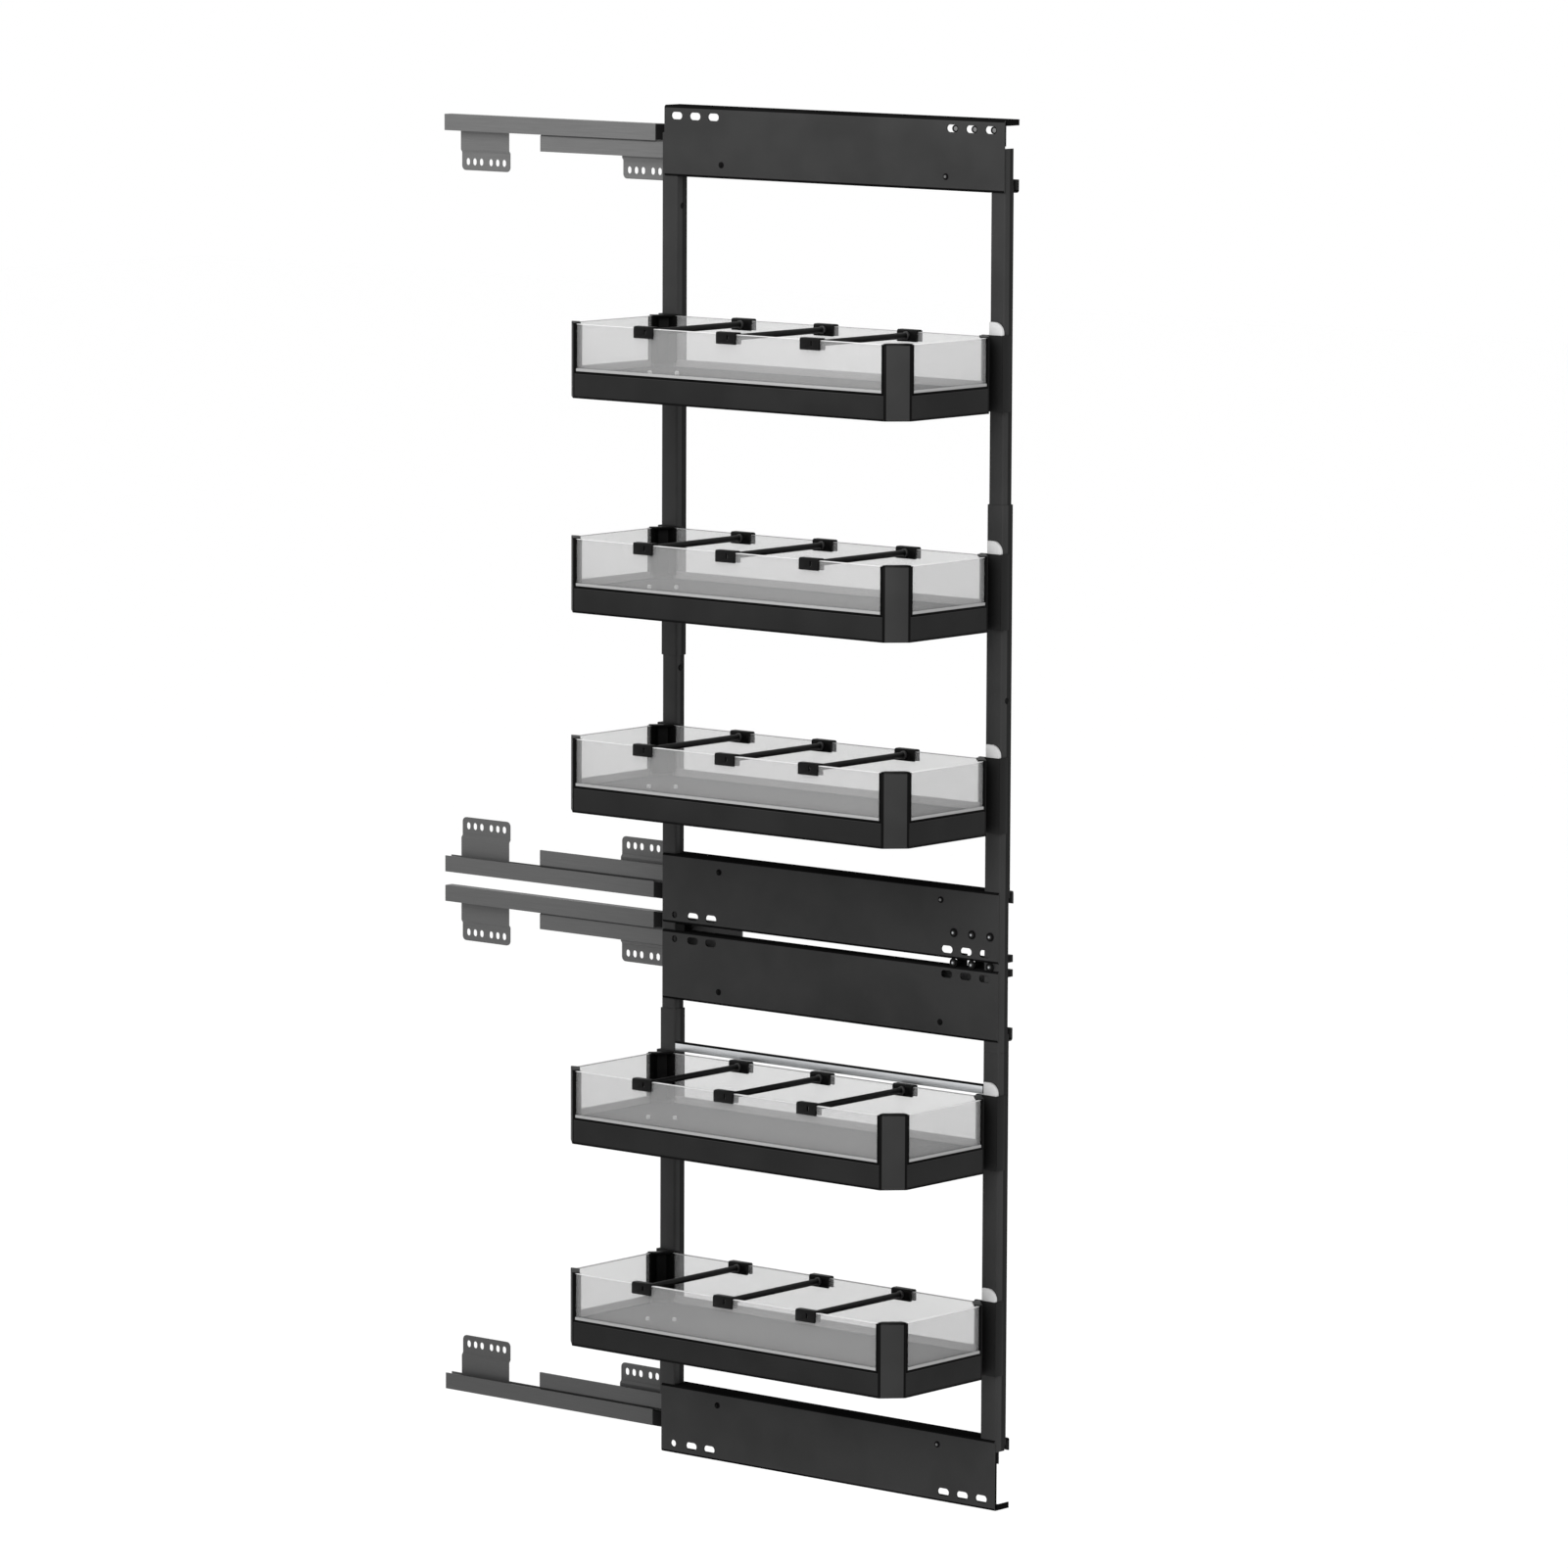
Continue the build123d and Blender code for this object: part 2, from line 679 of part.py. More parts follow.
def divider(x, z):
    """A rod with a clip at each end that straddles the top of the glass."""
    top = z + corner_height + divider_clip_top
    low = top - divider_clip_height
    glass_top = z + corner_height - pane_drop + divider_glass_clearance
    x0, x1 = x - divider_clip_width * half, x + divider_clip_width * half
    front, back, _, _ = pane_planes()
    body = None
    for face, inwards in ((front, 1), (back, -1)):
        outer = face - inwards * (divider_glass_clearance + divider_outer_leg)
        inner = face + inwards * (pane_thickness + divider_glass_clearance + divider_inner_leg)
        clip = block(x0, x1, outer, inner, low, top)
        clip = chamfer(clip.edges().filter_by(Axis.X).sort_by(Axis.Z)[-2:], divider_edge)
        clip -= block(x0 - overrun, x1 + overrun, face - inwards * divider_glass_clearance,
                      face + inwards * (pane_thickness + divider_glass_clearance), low - overrun, glass_top)
        body = clip if body is None else body + clip
    rod_z = (low + top) * half
    rod_start = front + pane_thickness + divider_glass_clearance + divider_edge
    rod_end = back - pane_thickness - divider_glass_clearance - divider_edge
    return body + along_y(divider_rod_diameter * half, x, rod_z, rod_start, rod_end)


def fixing_screws():
    """Screws with sleeves that tie plates to frame rails, rivets of the joined plate, clamp screws."""
    solids = []
    plates = ((frame_top_z, -1), (upper_bottom_z, 1), (lower_top_z, -1), (frame_bottom_z, 1))
    for outer_z, way in plates:
        z = outer_z + way * (plate_height - fixing_screw_inset)
        for x in fixing_screw_x():
            head = along_y(screw_head_diameter * half, x, z, face_y - screw_head_height, face_y)
            shank = along_y(screw_diameter * half, x, z, face_y - screw_head_height, rail_front_y)
            sleeve = along_y(screw_sleeve_diameter * half, x, z, post_front_y, rail_front_y)
            solids.append(head + shank + sleeve)
    z = upper_bottom_z + joint_screw_height
    for x in joint_screw_x():
        head = along_y(screw_head_diameter * half, x, z, face_y - screw_head_height, face_y)
        shank = along_y(screw_diameter * half, x, z, face_y - screw_head_height, post_front_y)
        solids.append(head + shank)
    return solids + clamp_screws()


def joint_bolts():
    """Bolts in the gap whose heads and nuts hold both frames, and a bolted block at the rear."""
    solids = []
    for number, x in enumerate(joint_screw_x()):
        head = along_y(bolt_head_diameter * half, x, joint_z, face_y - bolt_head_height, face_y)
        if number == 0:
            end = post_front_y + upright_wall + bolt_end
            solids.append(head + along_y(bolt_diameter * half, x, joint_z, face_y - bolt_head_height, end))
            continue
        end = face_y + joining_flange + joining_nut_thickness
        shank = along_y(bolt_diameter * half, x, joint_z, face_y - bolt_head_height, end)
        nut = block(x - joining_nut_width * half, x + joining_nut_width * half,
                    face_y + joining_flange, end,
                    joint_z - joining_nut_height * half, joint_z + joining_nut_height * half)
        solids.append(head + shank + nut)
    x, y = rear_bolt_place()
    low = lower_top_z - plate_sheet
    high = upper_bottom_z + plate_sheet
    bolt = along_z(bolt_diameter * half, x, y, low - rear_bolt_head_height, high + rear_bolt_head_height)
    bolt += along_z(bolt_head_diameter * half, x, y, low - rear_bolt_head_height, low)
    bolt += along_z(bolt_head_diameter * half, x, y, high, high + rear_bolt_head_height)
    bolt += block(x - rear_block_width * half, x + rear_block_width * half,
                  face_y, face_y + joining_flange, lower_top_z, upper_bottom_z)
    return solids + [bolt]


def basket_bottoms():
    """Bottom of each basket, from the top one down, spread over the free height of its frame."""
    bottoms = []
    for low, high, places in (
        (upper_bottom_z, frame_top_z, upper_basket_shares),
        (frame_bottom_z, lower_top_z, lower_basket_shares),
    ):
        start = low + plate_height
        free = high - plate_height - corner_height - clip_height - start
        bottoms += [start + share * free for share in places]
    return bottoms


def main():
    os.makedirs("parts", exist_ok=True)
    for name, edge_z, way in slides:
        web_end = joined_rail_web_end if name == "lower_top" else frame_rail_web_end
        save(name + "_cabinet_rail", cabinet_rail(edge_z, way))
        save(name + "_middle_rail", middle_rail(edge_z, way))
        save(name + "_frame_rail", frame_rail(edge_z, way, web_end))
    save("cabinet_rail_end_guides", group(end_guide(edge_z, way) for _, edge_z, way in slides))
    save("cabinet_side_ball_cages", group(cabinet_cage(edge_z, way) for _, edge_z, way in slides))
    save("frame_side_ball_cages", group(frame_cage(edge_z, way) for _, edge_z, way in slides))
    save("upper_top_plate", plate(frame_top_z, -1, False, False))
    save("upper_bottom_plate", rear_bolt_cut(joint_screw_cut(plate(upper_bottom_z, 1, True, True))))
    save("lower_top_plate", rear_bolt_cut(plate(lower_top_z, -1, True, True)))
    save("lower_bottom_plate", plate(frame_bottom_z, 1, False, True))
    for node, solid in upper_uprights().items():
        save(node, solid)
    for node, solid in lower_uprights().items():
        save(node, solid)
    hangers, clips = [], []
    for number, z in enumerate(basket_bottoms(), start=1):
        prefix = "basket_" + str(number)
        save(prefix + "_frame", basket_frame(z))
        save(prefix + "_floor", basket_floor(z))
        save(prefix + "_glass", group(basket_glass(z)))
        hangers.append(hanger(-1, z))
        hangers.append(hanger(1, z))
        clips.append(lock_clip(z))
        for place, share in enumerate(divider_shares, start=1):
            save(prefix + "_divider_" + str(place), divider(frame_rear_x + share * frame_depth, z))
    save("basket_hangers", group(hangers))
    save("basket_lock_clips", group(clips))
    bar_z = basket_bottoms()[len(upper_basket_shares)] + corner_height
    save("lower_cross_bar", block(rear_post_x + upright_width, front_post_x,
                                  post_front_y, post_front_y + cross_bar_thickness,
                                  bar_z, bar_z + cross_bar_height))
    save("fixing_screws", group(fixing_screws()))
    save("frame_joining_bolts", group(joint_bolts()))


main()
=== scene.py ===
from math import radians, sqrt

import bpy
from mathutils import Matrix, Vector


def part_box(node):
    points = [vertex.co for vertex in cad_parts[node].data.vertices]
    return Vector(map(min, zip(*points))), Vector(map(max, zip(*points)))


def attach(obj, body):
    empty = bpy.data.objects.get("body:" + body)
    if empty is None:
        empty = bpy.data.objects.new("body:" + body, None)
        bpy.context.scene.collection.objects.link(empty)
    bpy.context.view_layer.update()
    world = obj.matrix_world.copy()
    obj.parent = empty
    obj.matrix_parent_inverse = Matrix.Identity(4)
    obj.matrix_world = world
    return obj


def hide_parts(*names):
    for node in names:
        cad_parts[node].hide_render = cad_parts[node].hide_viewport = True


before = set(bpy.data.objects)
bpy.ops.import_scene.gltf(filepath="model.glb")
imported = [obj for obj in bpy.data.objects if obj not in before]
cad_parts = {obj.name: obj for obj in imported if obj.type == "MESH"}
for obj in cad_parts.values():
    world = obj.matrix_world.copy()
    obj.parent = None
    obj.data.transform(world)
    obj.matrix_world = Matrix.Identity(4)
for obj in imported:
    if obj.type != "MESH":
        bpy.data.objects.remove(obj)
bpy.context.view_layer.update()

MM = 0.001
TINY = 0.01 * MM
HAIR = 0.1 * MM
EASE = 0.5 * MM
SMALL_EASE = 0.4 * MM
FINE_EASE = 0.3 * MM
SLIDES = ("upper_top", "upper_bottom", "lower_top", "lower_bottom")
BASKETS = (1, 2, 3, 4, 5)
DIVIDERS = (1, 2, 3)


# Materials. Grains and lines that are finer than half a millimetre are drawn coarser, so that they show.

def linear(hex_colour):
    """An sRGB hex colour as the linear values that the shader wants."""
    values = []
    for i in (0, 2, 4):
        c = int(hex_colour.lstrip("#")[i:i + 2], 16) / 255
        values.append(c / 12.92 if c <= 0.04045 else ((c + 0.055) / 1.055) ** 2.4)
    return (*values, 1.0)


def add_node(tree, kind, sockets=None, links=None, stops=(), output=0):
    """Adds a node with its socket values, links and colour stops, and gives one of its outputs."""
    made = tree.nodes.new(kind)
    for key, value in (sockets or {}).items():
        made.inputs[key].default_value = value
    for key, source in (links or {}).items():
        tree.links.new(source, made.inputs[key])
    for number, (position, colour) in enumerate(stops):
        made.color_ramp.elements[number].position = position
        made.color_ramp.elements[number].color = linear(colour)
    return made.outputs[output]


def new_material(name):
    """A material with nothing but its output, its node tree and the output's surface socket."""
    made = bpy.data.materials.new(name)
    made.use_nodes = True
    tree = made.node_tree
    tree.nodes.clear()
    return made, tree, tree.nodes.new("ShaderNodeOutputMaterial").inputs["Surface"]


def powder_coated_steel(name, dark, light, shine):
    """Mild steel with a baked matt powder coat: an even dark grey with a very fine pebble
    that softens every highlight."""
    made, tree, surface = new_material(name)
    place = add_node(tree, "ShaderNodeTexCoord", output="Object")
    pebble = add_node(tree, "ShaderNodeTexNoise", {"Scale": 1 / (0.9 * MM), "Detail": 3.0}, {"Vector": place})
    patches = add_node(tree, "ShaderNodeTexNoise", {"Scale": 1 / (60 * MM), "Detail": 2.0}, {"Vector": place})
    tint = add_node(tree, "ShaderNodeValToRGB", links={"Fac": patches}, stops=((0.35, dark), (0.65, light)))
    rough = add_node(tree, "ShaderNodeMapRange", {"To Min": 0.5, "To Max": 0.62}, {"Value": pebble})
    relief = add_node(tree, "ShaderNodeBump", {"Strength": 0.35, "Distance": 0.03 * MM}, {"Height": pebble})
    body = add_node(
        tree, "ShaderNodeBsdfPrincipled", {"IOR": 1.5, "Metallic": 0.0, "Specular IOR Level": shine},
        {"Base Color": tint, "Roughness": rough, "Normal": relief})
    tree.links.new(body, surface)
    return made


def coated_rolled_steel(name, dark, light):
    """Cold rolled steel strip with a thin grey electro coat: satin, with faint draw lines
    along the rail's length."""
    made, tree, surface = new_material(name)
    place = add_node(tree, "ShaderNodeTexCoord", output="Object")
    along = add_node(tree, "ShaderNodeMapping", {"Scale": (0.02, 1.0, 1.0)}, {"Vector": place})
    lines = add_node(tree, "ShaderNodeTexNoise", {"Scale": 1 / (0.8 * MM), "Detail": 2.0}, {"Vector": along})
    tint = add_node(tree, "ShaderNodeValToRGB", links={"Fac": lines}, stops=((0.3, dark), (0.7, light)))
    rough = add_node(tree, "ShaderNodeMapRange", {"To Min": 0.42, "To Max": 0.52}, {"Value": lines})
    relief = add_node(tree, "ShaderNodeBump", {"Strength": 0.25, "Distance": 0.02 * MM}, {"Height": lines})
    body = add_node(
        tree, "ShaderNodeBsdfPrincipled", {"IOR": 1.5, "Metallic": 0.0, "Specular IOR Level": 0.4},
        {"Base Color": tint, "Roughness": rough, "Normal": relief})
    tree.links.new(body, surface)
    return made


def moulded_plastic(name, dark, light, rough=0.45, grit_mm=0.7, shine=0.5):
    """Injection moulded plastic with a fine spark-eroded grain: a soft sheen, no streaks."""
    made, tree, surface = new_material(name)
    place = add_node(tree, "ShaderNodeTexCoord", output="Object")
    grit = add_node(tree, "ShaderNodeTexNoise", {"Scale": 1 / (grit_mm * MM), "Detail": 2.0},
                    {"Vector": place})
    tint = add_node(tree, "ShaderNodeValToRGB", links={"Fac": grit}, stops=((0.3, dark), (0.7, light)))
    sheen = add_node(tree, "ShaderNodeMapRange", {"To Min": rough - 0.05, "To Max": rough + 0.08},
                     {"Value": grit})
    relief = add_node(tree, "ShaderNodeBump", {"Strength": 0.3, "Distance": 0.02 * MM}, {"Height": grit})
    body = add_node(
        tree, "ShaderNodeBsdfPrincipled", {"IOR": 1.46, "Metallic": 0.0, "Specular IOR Level": shine},
        {"Base Color": tint, "Roughness": sheen, "Normal": relief})
    tree.links.new(body, surface)
    return made


def zinc_plated_steel(name):
    """Steel with a bright zinc plate: metal with small, cloudy crystals in its shine."""
    made, tree, surface = new_material(name)
    place = add_node(tree, "ShaderNodeTexCoord", output="Object")
    crystals = add_node(tree, "ShaderNodeTexNoise", {"Scale": 1 / (1.5 * MM), "Detail": 3.0},
                        {"Vector": place})
    tint = add_node(tree, "ShaderNodeValToRGB", links={"Fac": crystals},
                    stops=((0.3, "#9a9c9e"), (0.7, "#c2c4c6")))
    rough = add_node(tree, "ShaderNodeMapRange", {"To Min": 0.26, "To Max": 0.4}, {"Value": crystals})
    body = add_node(
        tree, "ShaderNodeBsdfPrincipled", {"Metallic": 1.0}, {"Base Color": tint, "Roughness": rough})
    tree.links.new(body, surface)
    return made


def satin_aluminium(name):
    """Extruded aluminium with a satin anodised skin: fine lines along its length."""
    made, tree, surface = new_material(name)
    place = add_node(tree, "ShaderNodeTexCoord", output="Object")
    along = add_node(tree, "ShaderNodeMapping", {"Scale": (0.02, 1.0, 1.0)}, {"Vector": place})
    lines = add_node(tree, "ShaderNodeTexNoise", {"Scale": 1 / (0.4 * MM), "Detail": 2.0}, {"Vector": along})
    tint = add_node(tree, "ShaderNodeValToRGB", links={"Fac": lines},
                    stops=((0.3, "#c6c8ca"), (0.7, "#dcdee0")))
    rough = add_node(tree, "ShaderNodeMapRange", {"To Min": 0.34, "To Max": 0.46}, {"Value": lines})
    relief = add_node(tree, "ShaderNodeBump", {"Strength": 0.2, "Distance": 0.01 * MM}, {"Height": lines})
    body = add_node(
        tree, "ShaderNodeBsdfPrincipled", {"Metallic": 1.0},
        {"Base Color": tint, "Roughness": rough, "Normal": relief})
    tree.links.new(body, surface)
    return made


def melamine_board(name):
    """Chipboard with a melamine film, smooth and dark grey, with a faint mottle."""
    made, tree, surface = new_material(name)
    place = add_node(tree, "ShaderNodeTexCoord", output="Object")
    mottle = add_node(tree, "ShaderNodeTexNoise", {"Scale": 1 / (4 * MM), "Detail": 4.0}, {"Vector": place})
    tint = add_node(tree, "ShaderNodeValToRGB", links={"Fac": mottle},
                    stops=((0.3, "#373737"), (0.7, "#3d3d3d")))
    rough = add_node(tree, "ShaderNodeMapRange", {"To Min": 0.6, "To Max": 0.7}, {"Value": mottle})
    body = add_node(
        tree, "ShaderNodeBsdfPrincipled", {"IOR": 1.5, "Metallic": 0.0, "Specular IOR Level": 0.05},
        {"Base Color": tint, "Roughness": rough})
    tree.links.new(body, surface)
    return made


def acid_etched_glass(name):
    """Toughened float glass with a thin etched film: it lets part of the light through and
    veils the rest in pale grey, with the plain shine of glass over it."""
    made, tree, surface = new_material(name)
    place = add_node(tree, "ShaderNodeTexCoord", output="Object")
    haze = add_node(tree, "ShaderNodeTexNoise", {"Scale": 1 / (3 * MM), "Detail": 2.0}, {"Vector": place})
    tint = add_node(tree, "ShaderNodeValToRGB", links={"Fac": haze},
                    stops=((0.2, "#a8a8a8"), (0.8, "#aeaeae")))
    rough = add_node(tree, "ShaderNodeMapRange", {"To Min": 0.12, "To Max": 0.18}, {"Value": haze})
    clear = add_node(tree, "ShaderNodeBsdfTransparent", {"Color": (1, 1, 1, 1)})
    veil = add_node(tree, "ShaderNodeBsdfPrincipled", {"IOR": 1.52, "Metallic": 0.0},
                    {"Base Color": tint, "Roughness": rough})
    body = add_node(tree, "ShaderNodeMixShader", {"Fac": 0.26}, {1: clear, 2: veil})
    tree.links.new(body, surface)
    return made


def glass_edge(name, dark, light):
    """The ground and polished edge of a pane, in a tone painted for how lit or shaded it is."""
    made, tree, surface = new_material(name)
    place = add_node(tree, "ShaderNodeTexCoord", output="Object")
    grind = add_node(tree, "ShaderNodeTexNoise", {"Scale": 1 / (0.6 * MM), "Detail": 2.0}, {"Vector": place})
    tint = add_node(tree, "ShaderNodeValToRGB", links={"Fac": grind}, stops=((0.3, dark), (0.7, light)))
    rough = add_node(tree, "ShaderNodeMapRange", {"To Min": 0.2, "To Max": 0.3}, {"Value": grind})
    body = add_node(
        tree, "ShaderNodeBsdfPrincipled", {"IOR": 1.52, "Metallic": 0.0},
        {"Base Color": tint, "Roughness": rough})
    tree.links.new(body, surface)
    return made


def painted_studio_floor(name, colour):
    """Plain matt paint on the studio floor."""
    made, tree, surface = new_material(name)
    body = add_node(
        tree, "ShaderNodeBsdfPrincipled",
        {"Base Color": linear(colour), "Roughness": 0.9, "Specular IOR Level": 0.1})
    tree.links.new(body, surface)
    return made


frame_coat = powder_coated_steel("powder_coated_steel_frame_grey", "#292929", "#2e2e2e", 0.12)
# Near black: the own colour of the dark screws, shanks, nuts and bolt heads, and painted shade on the plates'
# folds, flanges and front ends.
black_and_fold_shade_coat = powder_coated_steel("powder_coated_steel_black_and_painted_fold_shade", "#0e0e0e", "#121212", 0.0)
# Painted light: the slanted faces of the corner cuts are lighter as lit faces, and a highlight runs along the
# rim's top edge.
chamfer_and_edge_light_coat = powder_coated_steel("powder_coated_steel_painted_chamfer_and_edge_light", "#272727", "#2c2c2c", 0.12)
rim_coat = powder_coated_steel("powder_coated_steel_basket_black", "#1c1c1c", "#202020", 0.06)
# Painted shade: the rear part of the uprights' +X sides.
shaded_side_coat = powder_coated_steel("powder_coated_steel_upright_painted_side_shade", "#181818", "#1c1c1c", 0.06)
stud_steel = powder_coated_steel("coated_steel_stud_grey", "#585858", "#606060", 0.3)
# The rails' tone steps with height: the top slide's are painted lighter and the bottom slide's darker than
# the middle ones, as painted light and shade.
middle_rail_coat = coated_rolled_steel("coated_rolled_steel_grey", "#444444", "#4a4a4a")
rail_coats_painted_by_height = {
    "upper_top": coated_rolled_steel("coated_rolled_steel_top_rail_painted_light", "#545454", "#5c5c5c"),
    "upper_bottom": middle_rail_coat,
    "lower_top": middle_rail_coat,
    "lower_bottom": coated_rolled_steel("coated_rolled_steel_bottom_rail_painted_shade", "#353535", "#3a3a3a"),
}
black_plastic = moulded_plastic("moulded_nylon_black", "#040404", "#070707", shine=0.06)
hanger_plastic = moulded_plastic("moulded_nylon_hanger_black", "#1a1a1a", "#1e1e1e", shine=0.06)
# The collars are painted lighter than the rods as a highlight.
collar_highlight_plastic = moulded_plastic("moulded_nylon_collar_painted_highlight", "#262626", "#2e2e2e")
divider_plastic = moulded_plastic("moulded_nylon_divider_black", "#070707", "#0b0b0b", shine=0.1)
seal_rubber = moulded_plastic("extruded_rubber_seal_black", "#030303", "#050505", 0.6, 0.5, 0.04)
pale_plastic = moulded_plastic("moulded_acetal_pale_grey", "#b0b0b0", "#bababa", 0.4)
# Pale: the beads' own colour, and painted highlight on the strips over the black seal.
pale_bead_and_highlight_strip = moulded_plastic("extruded_glazing_bead_and_painted_foot_highlight", "#8a8a8a", "#949494", 0.5, 0.5, 0.3)
zinc = zinc_plated_steel("zinc_plated_steel")
aluminium = satin_aluminium("satin_anodised_aluminium")
board = melamine_board("melamine_board_dark_grey")
glass = acid_etched_glass("etched_toughened_glass")
# The panes' near top edges are painted light and the far ones painted shade.
lit_pane_edge = glass_edge("polished_glass_edge_painted_light", "#c6c6c6", "#d0d0d0")
shaded_pane_edge = glass_edge("polished_glass_edge_painted_shade", "#8a8a8a", "#949494")


# Modelling helpers. A face is picked by its centre and normal, an edge by its two ends.

FACING = 0.9
FLAT_ON = 0.99
LONG_EDGE = 100 * MM
SHARP = 60


def only(piece):
    """Leaves one object selected and active."""
    bpy.ops.object.select_all(action="DESELECT")
    piece.select_set(True)
    bpy.context.view_layer.objects.active = piece


def settle(piece):
    """Puts an object's place, turn and scale into its mesh."""
    only(piece)
    bpy.ops.object.transform_apply(location=True, rotation=True, scale=True)
    return piece


def box_piece(name, corner, opposite):
    """A box between two opposite corners, given in any order."""
    bpy.ops.object.select_all(action="DESELECT")
    centre = [(a + b) / 2 for a, b in zip(corner, opposite)]
    bpy.ops.mesh.primitive_cube_add(size=1, location=centre)
    piece = bpy.context.object
    piece.name = name
    piece.scale = [abs(b - a) for a, b in zip(corner, opposite)]
    return settle(piece)


def plane_piece(name, centre, size, turn=(0, 0, 0)):
    """A flat square."""
    bpy.ops.object.select_all(action="DESELECT")
    bpy.ops.mesh.primitive_plane_add(size=size, location=centre, rotation=turn)
    piece = bpy.context.object
    piece.name = name
    return piece


def round_piece(name, centre, radius, length, axis="Z", sides=32):
    """A cylinder along an axis."""
    bpy.ops.object.select_all(action="DESELECT")
    turn = {"X": (0, radians(90), 0), "Y": (radians(90), 0, 0), "Z": (0, 0, 0)}[axis]
    bpy.ops.mesh.primitive_cylinder_add(vertices=sides, radius=radius, depth=length, location=centre,
                                        rotation=turn)
    piece = bpy.context.object
    piece.name = name
    return settle(piece)


def select(piece, faces=None, edges=None):
    """Selects the faces or edges picked, and goes to edit mode."""
    only(piece)
    bpy.ops.object.mode_set(mode="EDIT")
    bpy.ops.mesh.select_all(action="DESELECT")
    bpy.ops.mesh.select_mode(type="FACE" if faces else "EDGE")
    bpy.ops.object.mode_set(mode="OBJECT")
    mesh = piece.data
    if faces:
        for f in mesh.polygons:
            f.select = bool(faces(f.center, f.normal))
    if edges:
        for e in mesh.edges:
            a, b = (mesh.vertices[i].co for i in e.vertices)
            e.select = bool(edges(a, b))
    bpy.ops.object.mode_set(mode="EDIT")


def select_all(piece):
    """Selects a whole piece and goes to edit mode."""
    select(piece, faces=lambda c, n: True)


def done():
    """Leaves edit mode."""
    bpy.ops.object.mode_set(mode="OBJECT")


def bevel(piece, width, segments, edges):
    """Rounds or cuts the edges picked."""
    select(piece, edges=edges)
    bpy.ops.mesh.bevel(offset=width, offset_type="OFFSET", segments=segments, affect="EDGES")
    done()
    return piece


def bisect(piece, point, normal):
    """Cuts a piece's faces along a plane and keeps both sides."""
    select_all(piece)
    bpy.ops.mesh.bisect(plane_co=point, plane_no=normal)
    done()


def delete_faces(piece, faces):
    """Opens a piece where the faces picked are."""
    select(piece, faces=faces)
    bpy.ops.mesh.delete(type="FACE")
    done()
    return piece


def finish_with(piece, kind, **settings):
    """Adds a modifier and applies it."""
    only(piece)
    modifier = piece.modifiers.new(kind.title(), kind)
    for key, value in settings.items():
        setattr(modifier, key, value)
    bpy.ops.object.modifier_apply(modifier=modifier.name)
    return piece


def thicken(piece, thickness):
    """Gives an open shell its wall, inwards."""
    return finish_with(piece, "SOLIDIFY", thickness=thickness, offset=-1, use_even_offset=True)


def soften(piece, width, segments=2, angle=40):
    """Takes the sharpness off every hard edge."""
    return finish_with(piece, "BEVEL", width=width, segments=segments, limit_method="ANGLE",
                       angle_limit=radians(angle))


def cut(piece, cutters):
    """Cuts the cutters' space out of a piece and removes the cutters."""
    for cutter in cutters:
        finish_with(piece, "BOOLEAN", operation="DIFFERENCE", object=cutter, solver="EXACT")
    for cutter in cutters:
        bpy.data.objects.remove(cutter)
    return piece


def join(name, pieces):
    """Several meshes as one object."""
    bpy.ops.object.select_all(action="DESELECT")
    for piece in pieces:
        piece.select_set(True)
    bpy.context.view_layer.objects.active = pieces[0]
    bpy.ops.object.join()
    made = bpy.context.object
    made.name = name
    return made


def smooth(piece, angle=35):
    """Smooth shading with sharp edges kept."""
    only(piece)
    bpy.ops.object.shade_smooth_by_angle(angle=radians(angle))
    return piece


def copy_of(piece, name, move):
    """A copy with its own mesh, moved."""
    made = piece.copy()
    made.data = piece.data.copy()
    made.name = name
    bpy.context.collection.objects.link(made)
    made.data.transform(Matrix.Translation(move))
    return made


def dress(piece, material):
    """Gives a piece one material."""
    piece.data.materials.clear()
    piece.data.materials.append(material)
    return piece


def paint_faces(piece, material, faces):
    """Gives the faces picked one more material."""
    piece.data.materials.append(material)
    index = len(piece.data.materials) - 1
    for f in piece.data.polygons:
        if faces(f.center, f.normal):
            f.material_index = index
    return piece


def seat(piece, body, nodes=()):
    """Ties a finished piece to its body and the nodes that it stands for."""
    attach(piece, body)
    if nodes:
        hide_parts(*nodes)
    return piece


def box_of(node):
    """A node's two corners as vectors."""
    return [Vector(v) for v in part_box(node)]


# Rails and cages, whose CAD meshes are shown as they are

for slide in SLIDES:
    for part in ("_cabinet_rail", "_middle_rail", "_frame_rail"):
        dress(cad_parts[slide + part], rail_coats_painted_by_height[slide])
for node_name in ("cabinet_side_ball_cages", "frame_side_ball_cages"):
    dress(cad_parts[node_name], zinc)


# Folded plates. A plate's way is 1 where its inner edge is its top, and -1 where it is its bottom.

WAYS = {"upper_top": -1, "upper_bottom": 1, "lower_top": -1, "lower_bottom": 1}
SHEET = 1.5 * MM
PLATE_LIP = 13 * MM
JOINED_FLANGE = 12 * MM
BEND = 2.6 * MM
BEND_STEPS = 4
SHEET_EASE = 0.25 * MM
SLOT_LENGTH = 14.5 * MM
SLOT_WIDTH = 7.5 * MM
SLOT_STEP = 24.5 * MM
SLOTS = 3
REAR_SLOT_INSET = 16.5 * MM
FRONT_SLOT_INSET = 17 * MM
SLOT_DROP = 10.5 * MM
JOINED_SLOT_DROP = 9 * MM
SLOT_STEPS = 8
SLOT_ROUND = SLOT_WIDTH / 2 * 0.999
REAR_HOLE_RADIUS = 3.5 * MM
CUTTER_FRONT = 5 * MM
CUTTER_BACK = 6 * MM
POST_PLAY = 0.2 * MM
POST_NOTCH = 4 * MM
END_FLAP = 6 * MM
